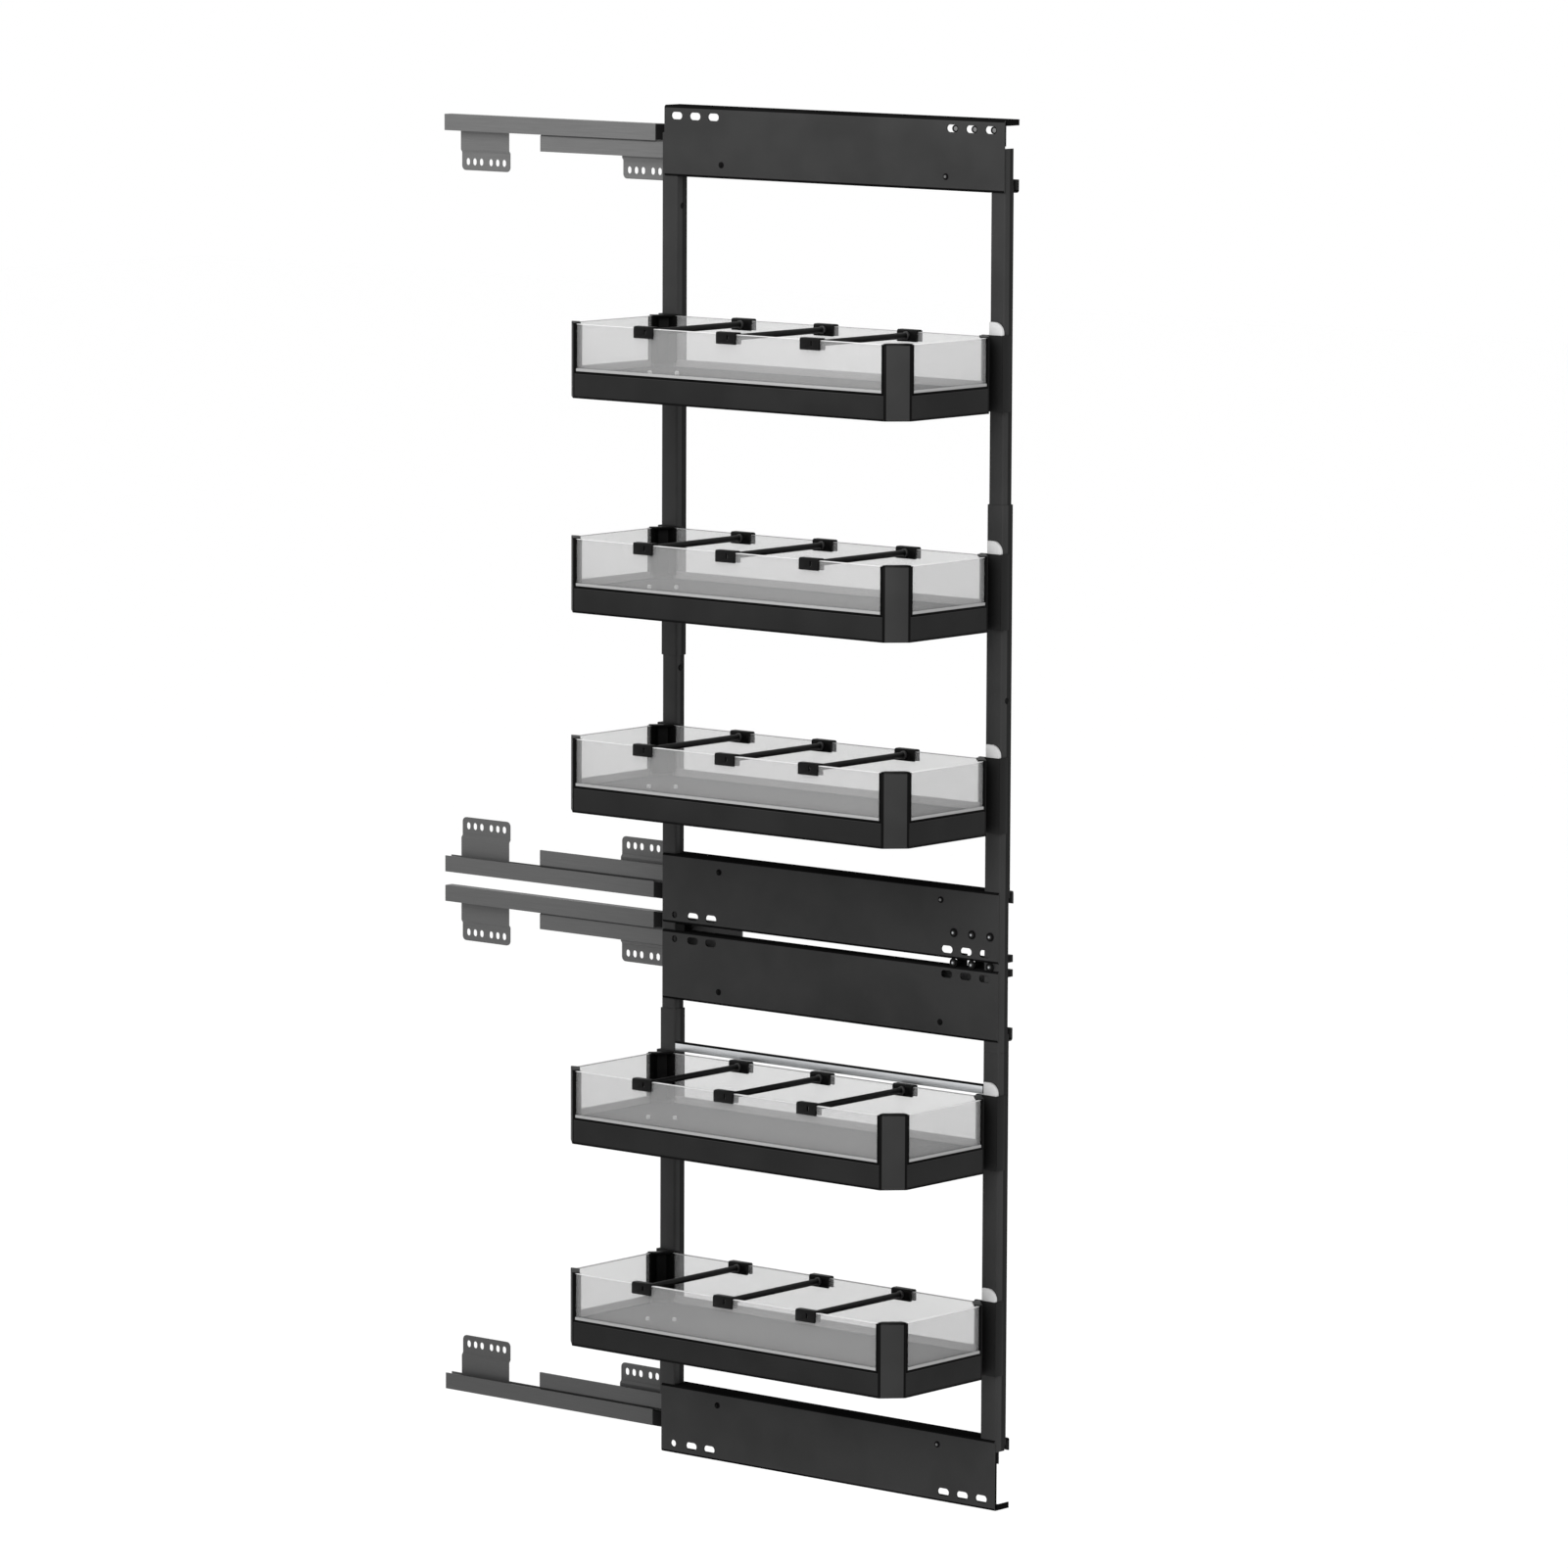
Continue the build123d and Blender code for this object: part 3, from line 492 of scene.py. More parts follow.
END_RETURN = {"upper_top": (26 * MM, 3.2 * MM), "lower_bottom": (58 * MM, 4.2 * MM)}
SHADED_END = SHEET + HAIR
FOLD_TURN = 0.15
REAR_POST = box_of("lower_rear_upright")
FRONT_POST = box_of("lower_front_upright")


def slot_cutter(x, y, z):
    """A slot-shaped cutter through a sheet that faces Y."""
    made = box_piece("cutter", (x - SLOT_LENGTH / 2, y - CUTTER_FRONT, z - SLOT_WIDTH / 2),
                     (x + SLOT_LENGTH / 2, y + CUTTER_BACK, z + SLOT_WIDTH / 2))
    return bevel(made, SLOT_ROUND, SLOT_STEPS, lambda a, b: abs(a.y - b.y) > CUTTER_FRONT)


def fold(plate, edges, move):
    """Draws the edges picked out into one more side of the sheet."""
    select(plate, edges=edges)
    bpy.ops.mesh.extrude_edges_move(TRANSFORM_OT_translate={"value": move})
    done()


def plate_sheet(name, low, high, outer, inner, way, outer_flange):
    """The bent sheet: its web, both flanges and the lip, with round bends and a wall."""
    plate = plane_piece(name, ((low.x + high.x) / 2, low.y, (low.z + high.z) / 2), 1, (radians(90), 0, 0))
    plate.scale = (high.x - low.x, high.z - low.z, 1)
    settle(plate)

    def at(z, a, b):
        return abs(a.z - z) < TINY and abs(b.z - z) < TINY

    fold(plate, lambda a, b: at(outer, a, b) and a.y < low.y + TINY, (0, outer_flange, 0))
    fold(plate, lambda a, b: at(inner, a, b) and a.y < low.y + TINY, (0, high.y - low.y, 0))
    fold(plate, lambda a, b: at(inner, a, b) and min(a.y, b.y) > high.y - TINY, (0, 0, -way * PLATE_LIP))
    lip_end = inner - way * PLATE_LIP
    bevel(plate, BEND, BEND_STEPS, lambda a, b: abs(a.x - b.x) > LONG_EDGE and not (
        a.y > low.y + TINY and (abs(a.z - outer) < TINY or abs(a.z - lip_end) < TINY)))
    select_all(plate)
    bpy.ops.mesh.normals_make_consistent(inside=False)
    done()
    web = [f for f in plate.data.polygons if abs(f.normal.y) > FLAT_ON and abs(f.center.y - low.y) < TINY]
    if web and web[0].normal.y > 0:
        select_all(plate)
        bpy.ops.mesh.flip_normals()
        done()
    return thicken(plate, SHEET)


def plate_cutters(low, high, outer, inner, way, round_hole, joined):
    """Cutters for a plate's slots and for the notches where the uprights pass its flanges."""
    slot_z = outer + way * (JOINED_SLOT_DROP if joined else SLOT_DROP)
    places = [low.x + REAR_SLOT_INSET + SLOT_STEP * i for i in range(SLOTS)]
    places += [high.x - FRONT_SLOT_INSET - SLOT_STEP * i for i in range(SLOTS)]
    cutters = []
    for x in places:
        if round_hole and x == places[0]:
            hole_length = 2 * CUTTER_FRONT
            cutters.append(round_piece("cutter", (x, low.y, slot_z), REAR_HOLE_RADIUS, hole_length, "Y", 24))
        else:
            cutters.append(slot_cutter(x, low.y, slot_z))
    for post_low, post_high in (REAR_POST, FRONT_POST):
        for edge in (inner, outer) if joined else (inner,):
            cutters.append(box_piece("cutter", (post_low.x - POST_PLAY, low.y + SHEET, edge - POST_NOTCH),
                                     (post_high.x + POST_PLAY, post_high.y + POST_PLAY, edge + POST_NOTCH)))
    return cutters


def plate_ends(slide, low, high, outer, way):
    """The small flap and the returned end at the front of the top or bottom plate."""
    reach, depth = END_RETURN[slide]
    start = outer + way * SHEET
    flap = box_piece("flap", (high.x - SHEET, low.y + SHEET, start), (high.x, high.y, outer + way * END_FLAP))
    end_return = box_piece("end_return", (high.x - SHEET, low.y + SHEET, start),
                           (high.x, low.y + depth, outer + way * reach))
    return [soften(flap, SHEET_EASE, 1), soften(end_return, SHEET_EASE, 1)]


def folded_plate(slide, round_hole, joined):
    """A plate with a flange at its outer edge, a flange and lip at its inner edge, and its slots."""
    way = WAYS[slide]
    low, high = box_of(slide + "_plate")
    outer, inner = (low.z, high.z) if way > 0 else (high.z, low.z)
    name = slide + "_folded_plate"
    plate = plate_sheet(name, low, high, outer, inner, way, JOINED_FLANGE if joined else high.y - low.y)
    cut(plate, plate_cutters(low, high, outer, inner, way, round_hole, joined))
    soften(plate, SHEET_EASE, 1, SHARP)
    if not joined:
        plate = join(name, [plate] + plate_ends(slide, low, high, outer, way))
    dress(smooth(plate), frame_coat)
    # Painted shade: the faces that turn up or down (the folds and flanges) and the open front end are near
    # black.
    paint_faces(plate, black_and_fold_shade_coat, lambda c, n: abs(n.z) > FOLD_TURN
                or (c.x > high.x - SHADED_END and c.y > low.y + SHADED_END and not joined))
    return seat(plate, "frame", [slide + "_plate"])


folded_plate("upper_top", round_hole=False, joined=False)
folded_plate("upper_bottom", round_hole=True, joined=True)
folded_plate("lower_top", round_hole=True, joined=True)
folded_plate("lower_bottom", round_hole=True, joined=False)


# Uprights

TOP_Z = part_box("upper_top_plate")[1][2]
CLAMP_Z = TOP_Z - 576.6 * MM
SIDE_SCREW_Z = TOP_Z - 102.6 * MM
RAIL_SETBACK = 13.5 * MM
RAIL_FRONT = REAR_POST[0].y + RAIL_SETBACK
SLIDE_INSET = 20.9 * MM
CUT_REACH = 44.6 * MM
LONG_CUT_REACH = 78.6 * MM
TUBE_WALL = 1 * MM
TUBE_ROUND = 2.2 * MM
TUBE_ROUND_STEPS = 5
TUBE_EASE = 0.2 * MM
SLIM_PLAY = 1.1 * MM
SCREW_HOLE_RADIUS = 3.2 * MM
SCREW_HOLE_LENGTH = 7 * MM
CUT_PLAY = 1 * MM
LUG_LENGTH = 14 * MM
LUG_DEPTH = 8.8 * MM
LUG_HEIGHT = 7.5 * MM
LIT_SIDE_DEPTH = 8 * MM
SIDEWAYS = 0.5


def slide_zones():
    """Heights where the uprights' backs are cut away for the slides."""
    zones = []
    for slide, way in WAYS.items():
        low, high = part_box(slide + "_cabinet_rail")
        edge = high[2] if way < 0 else low[2]
        reach = LONG_CUT_REACH if slide == "lower_top" else CUT_REACH
        zones.append(sorted((edge - way * SLIDE_INSET, edge + way * reach)))
    return zones


def stop_lugs():
    """The two lugs at the foot of the upper front upright, at the joined plates' edges."""
    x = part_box("upper_bottom_plate")[1][0]
    lugs = []
    for z, way in ((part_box("upper_bottom_plate")[0][2], 1), (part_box("lower_top_plate")[1][2], -1)):
        lug = box_piece("lug", (x - LUG_LENGTH, RAIL_FRONT, z),
                        (x, RAIL_FRONT + LUG_DEPTH, z + way * LUG_HEIGHT))
        lugs.append(soften(lug, SMALL_EASE))
    return lugs


def upright(node, slim=False, holes=(), lugs=()):
    """A square tube with rounded corners and open ends, its back cut away at the slides."""
    low, high = box_of(node)
    post_low, post_high = REAR_POST if low.x < FRONT_POST[0].x / 2 else FRONT_POST
    play = SLIM_PLAY if slim else 0
    low = Vector((post_low.x + play, post_low.y + play, low.z))
    high = Vector((post_high.x - play, post_high.y - play, high.z))
    tube = box_piece(node + "_tube", low, high)
    bevel(tube, TUBE_ROUND, TUBE_ROUND_STEPS, lambda a, b: abs(a.z - b.z) > LONG_EDGE)
    delete_faces(tube, lambda c, n: abs(n.z) > FACING)
    thicken(tube, TUBE_WALL)
    middle_y = (low.y + high.y) / 2
    cutters = [round_piece("cutter", (high.x, middle_y, z), SCREW_HOLE_RADIUS, SCREW_HOLE_LENGTH, "X", 24)
               for z in holes]
    for z0, z1 in slide_zones():
        if z1 > low.z and z0 < high.z:
            cutters.append(box_piece("cutter", (low.x - CUT_PLAY, RAIL_FRONT, z0),
                                     (high.x + CUT_PLAY, high.y + CUT_PLAY, z1)))
    cut(tube, cutters)
    soften(tube, TUBE_EASE, 1, SHARP)
    made = dress(smooth(join(node + "_tube", [tube, *lugs])), frame_coat)
    # Behind its lit front strip, the side's rear part is painted darker as shade.
    lit_end = post_low.y + LIT_SIDE_DEPTH
    bisect(made, (0, lit_end, 0), (0, 1, 0))
    paint_faces(made, shaded_side_coat, lambda c, n: n.x > SIDEWAYS and c.y > lit_end)
    if lugs:
        paint_faces(made, black_plastic, lambda c, n: c.y > post_high.y + HAIR / 2)
    return seat(made, "frame", [node])


upright("upper_rear_upright_top", holes=[SIDE_SCREW_Z])
upright("upper_rear_upright_bottom", slim=True, holes=[CLAMP_Z])
upright("upper_front_upright_top", slim=True, holes=[CLAMP_Z])
upright("upper_front_upright_bottom", holes=[CLAMP_Z], lugs=stop_lugs())
upright("lower_rear_upright")
upright("lower_front_upright")


# Screws, rivets and bolts. A head's steps give each ring's foot, top and ease as shares of the height.

HEAD_FLANGE = (0, 0.4, 0.12)
HEAD_CAP = (0.2, 0.9, 0.3)
HEAD_PIN = (0.8, 1.0, 0.06)
CAP_SHARE = 0.52
PIN_SHARE = 0.26
SOCKET_SHARE = 0.45
TOP_SHARE = 0.01
PLATE_SCREW_DROP = 13.8 * MM
REAR_SCREW_INSET = 76.5 * MM
FRONT_SCREW_INSET = 74 * MM
SCREW_RADIUS = 3.2 * MM
SCREW_HEIGHT = 1.6 * MM
SLEEVE_RADIUS = 4 * MM
SLEEVE_START = 1.55 * MM
SLEEVE_LENGTH = 13.4 * MM
RIVET_RISE = 26.8 * MM
RIVET_RADIUS = 4.5 * MM
RIVET_HEIGHT = 2.2 * MM
JOINT_INSET = 10.4 * MM
JOINT_STEP = 23.3 * MM
JOINTS = 3
CLAMP_RADIUS = 3 * MM
CLAMP_LENGTH = 2.2 * MM
CLAMP_SINK = 1.5 * MM
BOLT_RADIUS = 4.7 * MM
SHANK_RADIUS = 2.4 * MM
SHORT_SHANK = 6.5 * MM
LONG_SHANK = 14.8 * MM
NUT_WIDTH = 12 * MM
NUT_HEIGHT = 16 * MM
NUT_START = 12 * MM
NUT_DEPTH = 3 * MM
BLOCK_INSET = 23.4 * MM
BLOCK_BOLT_DEPTH = 7 * MM
BLOCK_WIDTH = 13 * MM
BLOCK_DEPTH = 12 * MM
BLOCK_PLAY = 0.05 * MM
HEX_HEIGHT = 3.5 * MM


def screw(name, x, y, z, radius, height, ring, dome, centre, share=PIN_SHARE):
    """A head that faces -Y: a flat flange, a low dome and the small floor of its socket."""
    pieces = []
    for (foot, top, ease), width, segments, sides, material in (
        (HEAD_FLANGE, 1, 2, 32, ring),
        (HEAD_CAP, CAP_SHARE, 3, 32, dome),
        (HEAD_PIN, share, 2, 20, centre),
    ):
        middle_y = y - height * (foot + top) / 2
        part = round_piece(name, (x, middle_y, z), radius * width, height * (top - foot), "Y", sides)
        front = y - height * (top - TOP_SHARE)
        bevel(part, height * ease, segments, lambda a, b: max(a.y, b.y) < front)
        pieces.append(dress(smooth(part), material))
    return join(name, pieces)


def joint_screws_x():
    """Places of the three rivets and the three bolts in the gap."""
    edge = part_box("upper_bottom_plate")[1][0]
    return [edge - JOINT_INSET - JOINT_STEP * i for i in range(JOINTS)]


def plate_screws(slide):
    """A plate's two screws and the sleeves behind them. The front ones are bright on three plates."""
    low, high = box_of(slide + "_plate")
    z = high.z - PLATE_SCREW_DROP if WAYS[slide] > 0 else low.z + PLATE_SCREW_DROP
    rear, front = low.x + REAR_SCREW_INSET, high.x - FRONT_SCREW_INSET
    made = []
    for x in (rear, front):
        bright = x == front and slide != "lower_top"
        dome, centre = (frame_coat, stud_steel) if bright else (black_and_fold_shade_coat, black_plastic)
        made.append(screw("screw", x, low.y, z, SCREW_RADIUS, SCREW_HEIGHT, black_and_fold_shade_coat, dome, centre,
                          SOCKET_SHARE))
        sleeve_y = low.y + SLEEVE_START + SLEEVE_LENGTH / 2
        made.append(dress(round_piece("sleeve", (x, sleeve_y, z), SLEEVE_RADIUS, SLEEVE_LENGTH, "Y"), zinc))
    return made


def fixing_screws():
    """The screw heads on the plates, the rivets, and the clamp screws in the uprights."""
    heads = []
    for slide in SLIDES:
        heads += plate_screws(slide)
    low, high = box_of("upper_bottom_plate")
    for x in joint_screws_x():
        heads.append(screw("rivet", x, low.y, low.z + RIVET_RISE, RIVET_RADIUS, RIVET_HEIGHT,
                           black_plastic, frame_coat, zinc))
    for node, z in (("upper_rear_upright_top", SIDE_SCREW_Z), ("lower_rear_upright", CLAMP_Z),
                    ("lower_front_upright", CLAMP_Z)):
        low, high = box_of(node)
        place = (high.x - CLAMP_SINK, (low.y + high.y) / 2, z)
        clamp = round_piece("clamp", place, CLAMP_RADIUS, CLAMP_LENGTH, "X")
        heads.append(dress(soften(clamp, FINE_EASE), black_plastic))
    return seat(join("fixing_screw_heads", heads), "frame", ["fixing_screws"])


def joining_bolts():
    """The bolts in the gap between the frames, with their nuts, and the bolted block at the rear."""
    gap_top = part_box("upper_bottom_plate")[0][2]
    gap_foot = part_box("lower_top_plate")[1][2]
    z = (gap_top + gap_foot) / 2
    rear_end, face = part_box("upper_bottom_plate")[0][:2]
    pieces = []
    for number, x in enumerate(joint_screws_x()):
        pieces.append(screw("joining_bolt", x, face, z, BOLT_RADIUS, RIVET_HEIGHT,
                            black_plastic, frame_coat, zinc))
        reach = SHORT_SHANK if number == 0 else LONG_SHANK
        shank = round_piece("shank", (x, face + reach / 2, z), SHANK_RADIUS, reach, "Y", 24)
        pieces.append(dress(smooth(shank), black_and_fold_shade_coat))
        if number:
            nut = box_piece("nut", (x - NUT_WIDTH / 2, face + NUT_START, z - NUT_HEIGHT / 2),
                            (x + NUT_WIDTH / 2, face + NUT_START + NUT_DEPTH, z + NUT_HEIGHT / 2))
            pieces.append(dress(soften(nut, EASE), black_and_fold_shade_coat))
    x, y = rear_end + BLOCK_INSET, face + BLOCK_BOLT_DEPTH
    for head_z in (gap_foot - SHEET - HEX_HEIGHT / 2, gap_top + SHEET + HEX_HEIGHT / 2):
        head = round_piece("bolt_head", (x, y, head_z), BOLT_RADIUS, HEX_HEIGHT, "Z", 6)
        pieces.append(dress(soften(head, SMALL_EASE), black_and_fold_shade_coat))
    block = box_piece("block", (x - BLOCK_WIDTH / 2, face, gap_foot + BLOCK_PLAY),
                      (x + BLOCK_WIDTH / 2, face + BLOCK_DEPTH, gap_top - BLOCK_PLAY))
    pieces.append(dress(soften(block, SMALL_EASE), black_plastic))
    return seat(join("frame_joining_bolt_set", pieces), "frame", ["frame_joining_bolts"])


fixing_screws()
joining_bolts()


# Studs, cross bar and end guides

STUD_SHIFT = 3.2 * MM
STUD_RADIUS = 3.7 * MM
STUD_LENGTH = 2 * MM
DOME_SHIFT = 1 * MM
DOME_DEPTH = 0.4 * MM
DOME_RADIUS = 2.4 * MM
DOME_LENGTH = 1.4 * MM
STRIP_HEIGHT = 2 * MM
GUIDE_REAR = 20 * MM
GUIDE_FRONT = 33.5 * MM
GUIDE_DEPTH = 9.4 * MM
GUIDE_HEIGHT = 15.8 * MM
BLADE_FRONT = 3.9 * MM
BLADE_BACK = 6.7 * MM
BLADE_FOOT = 2.7 * MM
BLADE_TOP = 30 * MM
BLADE_REAR_PLAY = 1 * MM
BLADE_FRONT_PLAY = 1.5 * MM


def slot_studs():
    """The round studs in the right half of the top plate's front slots."""
    low, high = box_of("upper_top_plate")
    z = high.z - SLOT_DROP
    studs = []
    for i in range(SLOTS):
        x = high.x - FRONT_SLOT_INSET - SLOT_STEP * i + STUD_SHIFT
        ring = round_piece("stud_ring", (x, low.y + STUD_LENGTH / 2, z), STUD_RADIUS, STUD_LENGTH, "Y")
        dome = round_piece("stud_dome", (x + DOME_SHIFT, low.y + DOME_DEPTH, z), DOME_RADIUS,
                           DOME_LENGTH, "Y")
        studs.append(dress(smooth(soften(ring, SMALL_EASE)), black_plastic))
        studs.append(dress(smooth(soften(dome, EASE)), stud_steel))
    return seat(join("top_plate_slot_studs", studs), "frame")


def cross_bar():
    """The thin bar behind the fourth basket, with a black strip on its top edge as the painted shadow line
    there.
    """
    low, high = box_of("lower_cross_bar")
    bar_top = high.z - STRIP_HEIGHT
    bar = soften(box_piece("bar", low, (high.x, high.y, bar_top)), EASE)
    # The black strip is painted shade: the shadow line along the bar's top edge.
    strip = soften(box_piece("strip", (low.x, low.y, bar_top), high), EASE)
    made = join("lower_cross_bar_dressed", [dress(bar, aluminium), dress(strip, black_plastic)])
    return seat(smooth(made), "frame", ["lower_cross_bar"])


def end_guides():
    """The black guides in the cabinet rails' front ends, each cut out for the middle rail."""
    pieces = []
    for slide, way in WAYS.items():
        low, high = box_of(slide + "_cabinet_rail")
        edge = high.z if way < 0 else low.z
        guide = box_piece("guide", (GUIDE_REAR, low.y, edge),
                          (GUIDE_FRONT, low.y + GUIDE_DEPTH, edge + way * GUIDE_HEIGHT))
        blade = box_piece("cutter",
                          (GUIDE_REAR - BLADE_REAR_PLAY, low.y + BLADE_FRONT, edge + way * BLADE_FOOT),
                          (GUIDE_FRONT + BLADE_FRONT_PLAY, low.y + BLADE_BACK, edge + way * BLADE_TOP))
        pieces.append(soften(cut(guide, [blade]), SMALL_EASE))
    made = dress(smooth(join("cabinet_rail_end_guide_set", pieces)), black_plastic)
    return seat(made, "cabinet_side", ["cabinet_rail_end_guides"])


slot_studs()
cross_bar()
end_guides()


# Baskets. Heights are above a basket's foot. A corner's leg is what its cut takes off each side.

BASKET_LOW, BASKET_HIGH = box_of("basket_1_frame")
BASKET_MIDDLE = (BASKET_LOW + BASKET_HIGH) / 2
POST = 76 * MM
LEG = 18.6 * MM
WRAP = 1.6 * MM
POST_EDGE = 1.7 * MM
POST_EASE = 0.6 * MM
CAP_HEIGHT = 2 * MM
CAP_DEPTH = 8 * MM
RIM = 27.4 * MM
RIM_STEEL = 25 * MM
RIM_SETBACK = 0.35 * MM
RIM_LIP = 8 * MM
RIM_EASE = 0.9 * MM
FOOT_SETBACK = 0.105 * MM
FOOT_HEIGHT = 2 * MM
FOOT_SHEET = 1 * MM
PROUD = 0.3 * MM
BLACK_CAP = CAP_HEIGHT + 2 * HAIR
SHADED_FOOT = FOOT_HEIGHT + HAIR / 2
HIGHLIGHT_EDGE = 1.2 * MM
SLANTED = 0.66
UPWARDS = 0.3


def cut_corners(piece, leg):
    """Cuts the four upright edges of a box."""
    return bevel(piece, leg, 1, lambda a, b: abs(a.z - b.z) > 1 * MM)


def depths(c):
    """How far a point lies inside the nearest end and the nearest side of a basket."""
    return min(c.x - BASKET_LOW.x, BASKET_HIGH.x - c.x), min(c.y - BASKET_LOW.y, BASKET_HIGH.y - c.y)


def bent_rim():
    """The rim, a strip bent around the basket, with a lip at its foot."""
    setback = Vector((RIM_SETBACK, RIM_SETBACK, 0))
    top = Vector((BASKET_HIGH.x, BASKET_HIGH.y, BASKET_LOW.z + RIM_STEEL))
    rim = cut_corners(box_piece("rim", BASKET_LOW + setback, top - setback), LEG)
    delete_faces(rim, lambda c, n: n.z > FACING)
    select(rim, faces=lambda c, n: n.z < -FACING)
    bpy.ops.mesh.inset(thickness=RIM_LIP, depth=0)
    bpy.ops.mesh.delete(type="FACE")
    done()
    return soften(thicken(rim, SHEET), RIM_EASE, 2, SHARP)


def rim_foot_shade_strip():
    """The black strip around the rim's foot, painted shade under its bottom edge."""
    setback = Vector((FOOT_SETBACK, FOOT_SETBACK, 0))
    top = Vector((BASKET_HIGH.x, BASKET_HIGH.y, BASKET_LOW.z + FOOT_HEIGHT))
    strip = cut_corners(box_piece("foot", BASKET_LOW + setback, top - setback), LEG)
    delete_faces(strip, lambda c, n: abs(n.z) > FACING)
    return thicken(strip, FOOT_SHEET)


def corner_posts(foot, depth):
    """The four corner posts from a height up: a ring with cut and eased corners, whose sides
    are taken out between the posts."""
    low, high = BASKET_LOW, BASKET_HIGH
    ring = cut_corners(box_piece("posts", (low.x, low.y, low.z + foot), (high.x, high.y, low.z + POST)), LEG)
    bevel(ring, POST_EDGE, 2, lambda a, b: abs(a.z - b.z) > 1 * MM)
    delete_faces(ring, lambda c, n: abs(n.z) > FACING)
    end = LEG + WRAP
    for x in (low.x + end, high.x - end):
        bisect(ring, (x, 0, 0), (1, 0, 0))
    for y in (low.y + end, high.y - end):
        bisect(ring, (0, y, 0), (0, 1, 0))
    half_x = (high.x - low.x) / 2 - end
    half_y = (high.y - low.y) / 2 - end
    delete_faces(ring, lambda c, n: (abs(c.x - BASKET_MIDDLE.x) < half_x and abs(n.y) > FACING)
                 or (abs(c.y - BASKET_MIDDLE.y) < half_y and abs(n.x) > FACING))
    return soften(thicken(ring, depth), POST_EASE, 2, 30)


def is_post(c):
    """Whether a point lies in one of the four corner posts, which stand proud of the rim."""
    dx, dy = depths(c)
    return c.z > BASKET_LOW.z + RIM_STEEL or dx + dy - LEG < PROUD or min(dx, dy) < PROUD


def basket_steel():
    """The rim with a black strip at its foot as painted shade, and the four corner posts with their caps."""
    pieces = [bent_rim(), rim_foot_shade_strip(), corner_posts(0, SHEET), corner_posts(POST - CAP_HEIGHT, CAP_DEPTH)]
    made = dress(smooth(join("basket_steel", pieces)), rim_coat)
    foot = BASKET_LOW.z

    def slanted(n):
        return abs(n.x) > SLANTED and abs(n.y) > SLANTED

    # Painted black: the post caps, the posts' inner and flat faces, and the rim's foot as painted shade.
    def black(c, n):
        inwards = n.x * (c.x - BASKET_MIDDLE.x) + n.y * (c.y - BASKET_MIDDLE.y) < 0
        return (c.z > foot + POST - BLACK_CAP or c.z < foot + SHADED_FOOT
                or (is_post(c) and (inwards or not slanted(n))))

    # Painted light: slanted faces are lighter as lit faces, and the upward faces along the rim's top edge are
    # a highlight.
    paint_faces(made, chamfer_and_edge_light_coat, lambda c, n: slanted(n)
                or (n.z > UPWARDS and c.z > foot + RIM_STEEL - HIGHLIGHT_EDGE))
    return paint_faces(made, black_plastic, black)


# Panes, seals and beads

RETURN = 4.2 * MM
CHANNEL = 1.5 * MM
CHANNEL_DROP = 1 * MM
INNER_LIP_FRONT = 6.1 * MM
INNER_LIP_BACK = 7.4 * MM
INNER_LIP_START = LEG - 4 * MM
INNER_LIP_END = LEG + 6 * MM
SEAL_FRONT = 0.1 * MM
SEAL_BACK = 1.6 * MM
SEAL_EASE = 0.2 * MM
PALE = 2.8 * MM
BEAD = 2.2 * MM
BEAD_FRONT = 1.95 * MM
BEAD_BACK = 2.9 * MM
PANE = 4 * MM
PANE_SETBACK = 1.8 * MM
PANE_END = LEG + 1 * MM
PANE_TOP = 1 * MM


def post_channels():
    """The channels beside the corner posts that hold the panes, and the lips inside the panes.
    At the front end only the near lip along X is built."""
    low, high = BASKET_LOW, BASKET_HIGH
    foot, top = low.z + RIM, low.z + POST - CHANNEL_DROP
    start, end = LEG + WRAP, LEG + RETURN
    pieces = []
    for x, x_way, y, y_way in ((low.x, 1, low.y, 1), (high.x, -1, low.y, 1),
                               (low.x, 1, high.y, -1), (high.x, -1, high.y, -1)):
        strips = [((start, 0), (end, CHANNEL)), ((0, start), (CHANNEL, end))]
        if x_way > 0 or y_way > 0:
            strips.append(((INNER_LIP_START, INNER_LIP_FRONT), (INNER_LIP_END, INNER_LIP_BACK)))
        if x_way > 0:
            strips.append(((INNER_LIP_FRONT, INNER_LIP_START), (INNER_LIP_BACK, INNER_LIP_END)))
        for a, b in strips:
            pieces.append(box_piece("channel", (x + x_way * a[0], y + y_way * a[1], foot),
                                    (x + x_way * b[0], y + y_way * b[1], top)))
    return pieces


def foot_strips():
    """The black seal along the rim's top, a pale strip over it as painted highlight at the panes' foot,
    and the pale beads inside the rim at the foot of the far panes."""
    low, high = BASKET_LOW, BASKET_HIGH
    end = LEG + WRAP
    x0, x1, y0, y1 = low.x + end, high.x - end, low.y + end, high.y - end
    heights = ((low.z + RIM_STEEL, low.z + RIM), (low.z + RIM, low.z + RIM + PALE))
    pieces = []
    for y, way in ((low.y, 1), (high.y, -1)):
        for foot, top in heights:
            pieces.append(box_piece("strip", (x0, y + way * SEAL_FRONT, foot),
                                    (x1, y + way * SEAL_BACK, top)))
    for x, way in ((low.x, 1), (high.x, -1)):
        for foot, top in heights:
            pieces.append(box_piece("strip", (x + way * SEAL_FRONT, y0, foot),
                                    (x + way * SEAL_BACK, y1, top)))
    foot, top = low.z + RIM_STEEL - BEAD, low.z + RIM + PALE
    pieces.append(box_piece("bead", (x0, high.y - BEAD_BACK, foot), (x1, high.y - BEAD_FRONT, top)))
    pieces.append(box_piece("bead", (low.x + BEAD_FRONT, y0, foot), (low.x + BEAD_BACK, y1, top)))
    return pieces


